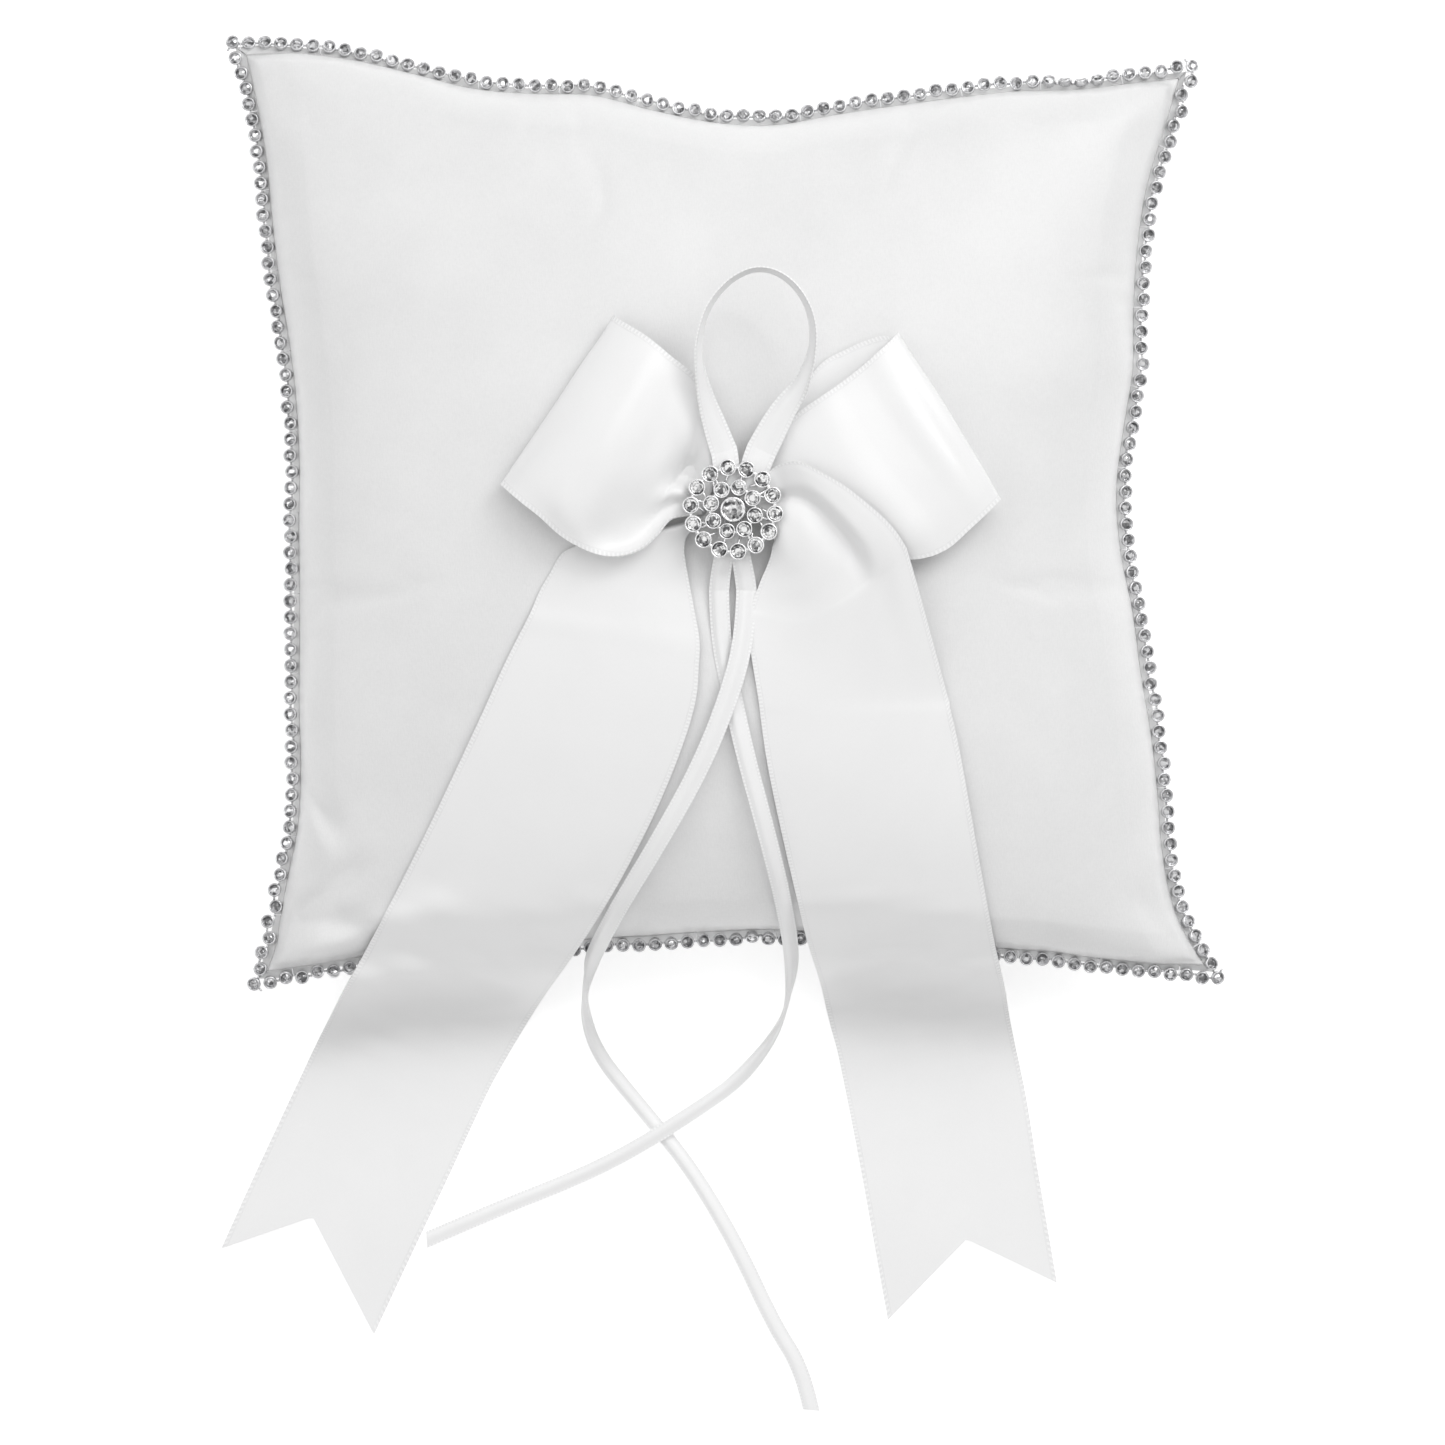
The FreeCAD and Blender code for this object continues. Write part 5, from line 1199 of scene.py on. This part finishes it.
def bezel(x, y, z, r, h):
    """Open cup with a rolled rim round the stone; its ring of tiny prongs comes from prong_ring."""
    prof = [(r * 0.45, z), (r * 0.86, z), (r * 0.98, z + h * 0.25), (r, z + h * 0.80), (r * 0.99, z + h * 0.95), (r * 0.95, z + h),
            (r * 0.86, z + h), (r * 0.82, z + h * 0.95), (r * 0.80, z + h * 0.80), (r * 0.79, z + h * 0.45), (r * 0.45, z + h * 0.4)]
    v, f = revolve(prof, 28, 0.0, True)
    metal.add(v, f, ID, (x, y, 0))


def stone_at(x, y, z, r, spin, n=8, table=0.5, h=0.55, deep=0.6):
    v, f = faceted(r, r * table, r * h, r * deep, n)
    f = oriented(v, f)
    c, s = math.cos(spin), math.sin(spin)
    gems.add(v, f, np.array([[c, -s, 0], [s, c, 0], [0, 0, 1]]), (x, y, z))


def prong_ring(x, y, z, r, n, size):
    v, f = revolve([(0.001, size), (size * 0.7, size * 0.7), (size, 0.0), (size * 0.8, -size)], 6)
    for q in range(n):
        a = 2 * math.pi * q / n
        dots.add(v, f, ID, (x + r * math.cos(a), y + r * math.sin(a), z))


def wire_ring(r, w, h, z, n=84):
    prof = [(r - w / 2, z), (r + w / 2, z), (r + w / 2, z + h * 0.6), (r + w * 0.25, z + h), (r - w * 0.25, z + h), (r - w / 2, z + h * 0.6)]
    v, f = revolve(prof, n, 0.0, True)
    metal.add(v, f, ID, (KNOT_X, KNOT_Y, 0))


for k in range(OUTER_N):
    a = math.radians(97 - 360.0 / OUTER_N * k)
    x, y = KNOT_X + OUTER_RING_R * math.cos(a), KNOT_Y + OUTER_RING_R * math.sin(a)
    bezel(x, y, BROOCH_Z, 1.80, 2.0)
    stone_at(x, y, BROOCH_Z + 1.62, 1.40, 0.4 * k)
    prong_ring(x, y, BROOCH_Z + 1.78, 1.48, 8, 0.11)
for k in range(INNER_N):
    a = math.radians(75 - 360.0 / INNER_N * k)
    x, y = KNOT_X + INNER_RING_R * math.cos(a), KNOT_Y + INNER_RING_R * math.sin(a)
    bezel(x, y, BROOCH_Z, 1.74, 2.4)
    stone_at(x, y, BROOCH_Z + 2.02, 1.36, 0.7 * k)
    prong_ring(x, y, BROOCH_Z + 2.16, 1.43, 8, 0.11)
bezel(KNOT_X, KNOT_Y, BROOCH_Z, 2.66, 2.9)
stone_at(KNOT_X, KNOT_Y, BROOCH_Z + 2.6, 2.22, 0.2, 8, 0.50, 0.42, 0.6)
prong_ring(KNOT_X, KNOT_Y, BROOCH_Z + 2.80, 2.32, 8, 0.20)
wire_ring(OUTER_RING_R, 0.9, 0.8, BROOCH_Z - 0.05)
wire_ring(INNER_RING_R, 0.8, 0.9, BROOCH_Z)
for k in range(8):
    a = math.radians(75 - 45.0 * k)
    p0 = B_C + np.array([2.4 * math.cos(a), 2.4 * math.sin(a), BROOCH_Z + 0.5])
    p1 = B_C + np.array([9.2 * math.cos(a), 9.2 * math.sin(a), BROOCH_Z + 0.3])
    v, f = tube([p0, (p0 + p1) / 2 + np.array([0, 0, 0.25]), p1], 0.36, 8)
    metal.add(v, f, ID, (0, 0, 0))
for k in range(OUTER_N):
    # small struts between the two rings of cups
    a = math.radians(97 - 360.0 / OUTER_N * k)
    a2 = a + math.radians(9)
    p0 = B_C + np.array([5.9 * math.cos(a2), 5.9 * math.sin(a2), BROOCH_Z + 0.5])
    p1 = B_C + np.array([7.6 * math.cos(a), 7.6 * math.sin(a), BROOCH_Z + 0.6])
    v, f = tube([p0, (p0 + p1) / 2, p1], 0.24, 6)
    metal.add(v, f, ID, (0, 0, 0))
brooch_metal = metal.build("brooch_openwork", MAT_BROOCH, True)
brooch_dots = dots.build("brooch_prongs", MAT_BROOCH, True)
brooch_gems = gems.build("brooch_faceted_stones", MAT_GEM, False)
for ob, s in ((brooch_metal, "brooch_metal"), (brooch_dots, "brooch_metal"), (brooch_gems, "brooch_crystal")):
    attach(ob, "pillow")
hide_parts("brooch_frame")
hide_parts("brooch_outer_stones", "brooch_inner_stones", "brooch_centre_stone")

# ------------------------------------------------------------------ CAD nodes that stay


def dress(node, mat):
    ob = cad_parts[node]
    ob.data.materials.clear()
    ob.data.materials.append(mat)


dress("fibre_filling", MAT_FIBRE)
dress("closing_stitches", MAT_THREAD)
dress("bow_centre_gather", MAT_WIDE)
dress("bow_tie_thread", MAT_THREAD)
dress("bow_stitches", MAT_THREAD)
dress("brooch_sewing_bar", MAT_BROOCH)

# ------------------------------------------------------------------ floor, light
fl = Mat("studio_floor")
fl.set(color=(0.93, 0.93, 0.93), rough=0.9, spec=0.1, emit=0.37, emit_color=(1.0, 1.0, 1.0))
bpy.ops.mesh.primitive_plane_add(size=6.0, location=(0, -0.04, -0.0002))
floor = bpy.context.object
floor.name = "studio_floor"
floor.data.materials.clear()
floor.data.materials.append(fl.m)


def area_light(name, loc, size, power, target=(0, 0, 0.02), color=(1, 1, 1)):
    li = bpy.data.lights.new(name, "AREA")
    li.shape = "SQUARE"
    li.size = size
    li.energy = power
    li.color = color
    ob = bpy.data.objects.new(name, li)
    scene.collection.objects.link(ob)
    ob.location = loc
    d = Vector(target) - Vector(loc)
    ob.rotation_euler = d.to_track_quat("-Z", "Y").to_euler()
    return ob


area_light("key", (0.95, 0.95, 1.15), 0.7, 7.6)
area_light("fill", (-1.1, 0.2, 1.0), 1.0, 2.6)
area_light("top", (0.25, 0.45, 1.05), 0.7, 1.9)
world = bpy.data.worlds.new("studio")
scene.world = world
world.use_nodes = True
wn = world.node_tree
bg = wn.nodes["Background"]
tc = wn.nodes.new("ShaderNodeTexCoord")
sp = wn.nodes.new("ShaderNodeSeparateXYZ")
rp = wn.nodes.new("ShaderNodeValToRGB")
wn.links.new(tc.outputs["Generated"], sp.inputs[0])
wn.links.new(sp.outputs[2], rp.inputs[0])
rp.color_ramp.elements[0].position, rp.color_ramp.elements[0].color = 0.02, (0.16, 0.16, 0.16, 1)
rp.color_ramp.elements[1].position, rp.color_ramp.elements[1].color = 0.80, (1.0, 1.0, 1.0, 1)
e = rp.color_ramp.elements.new(0.35)
e.color = (0.46, 0.46, 0.46, 1)
wn.links.new(rp.outputs[0], bg.inputs[0])
bg.inputs[1].default_value = 0.83
scene.view_settings.view_transform = "Standard"
scene.view_settings.look = "None"
scene.view_settings.exposure = 0.0
scene.view_settings.gamma = 1.0
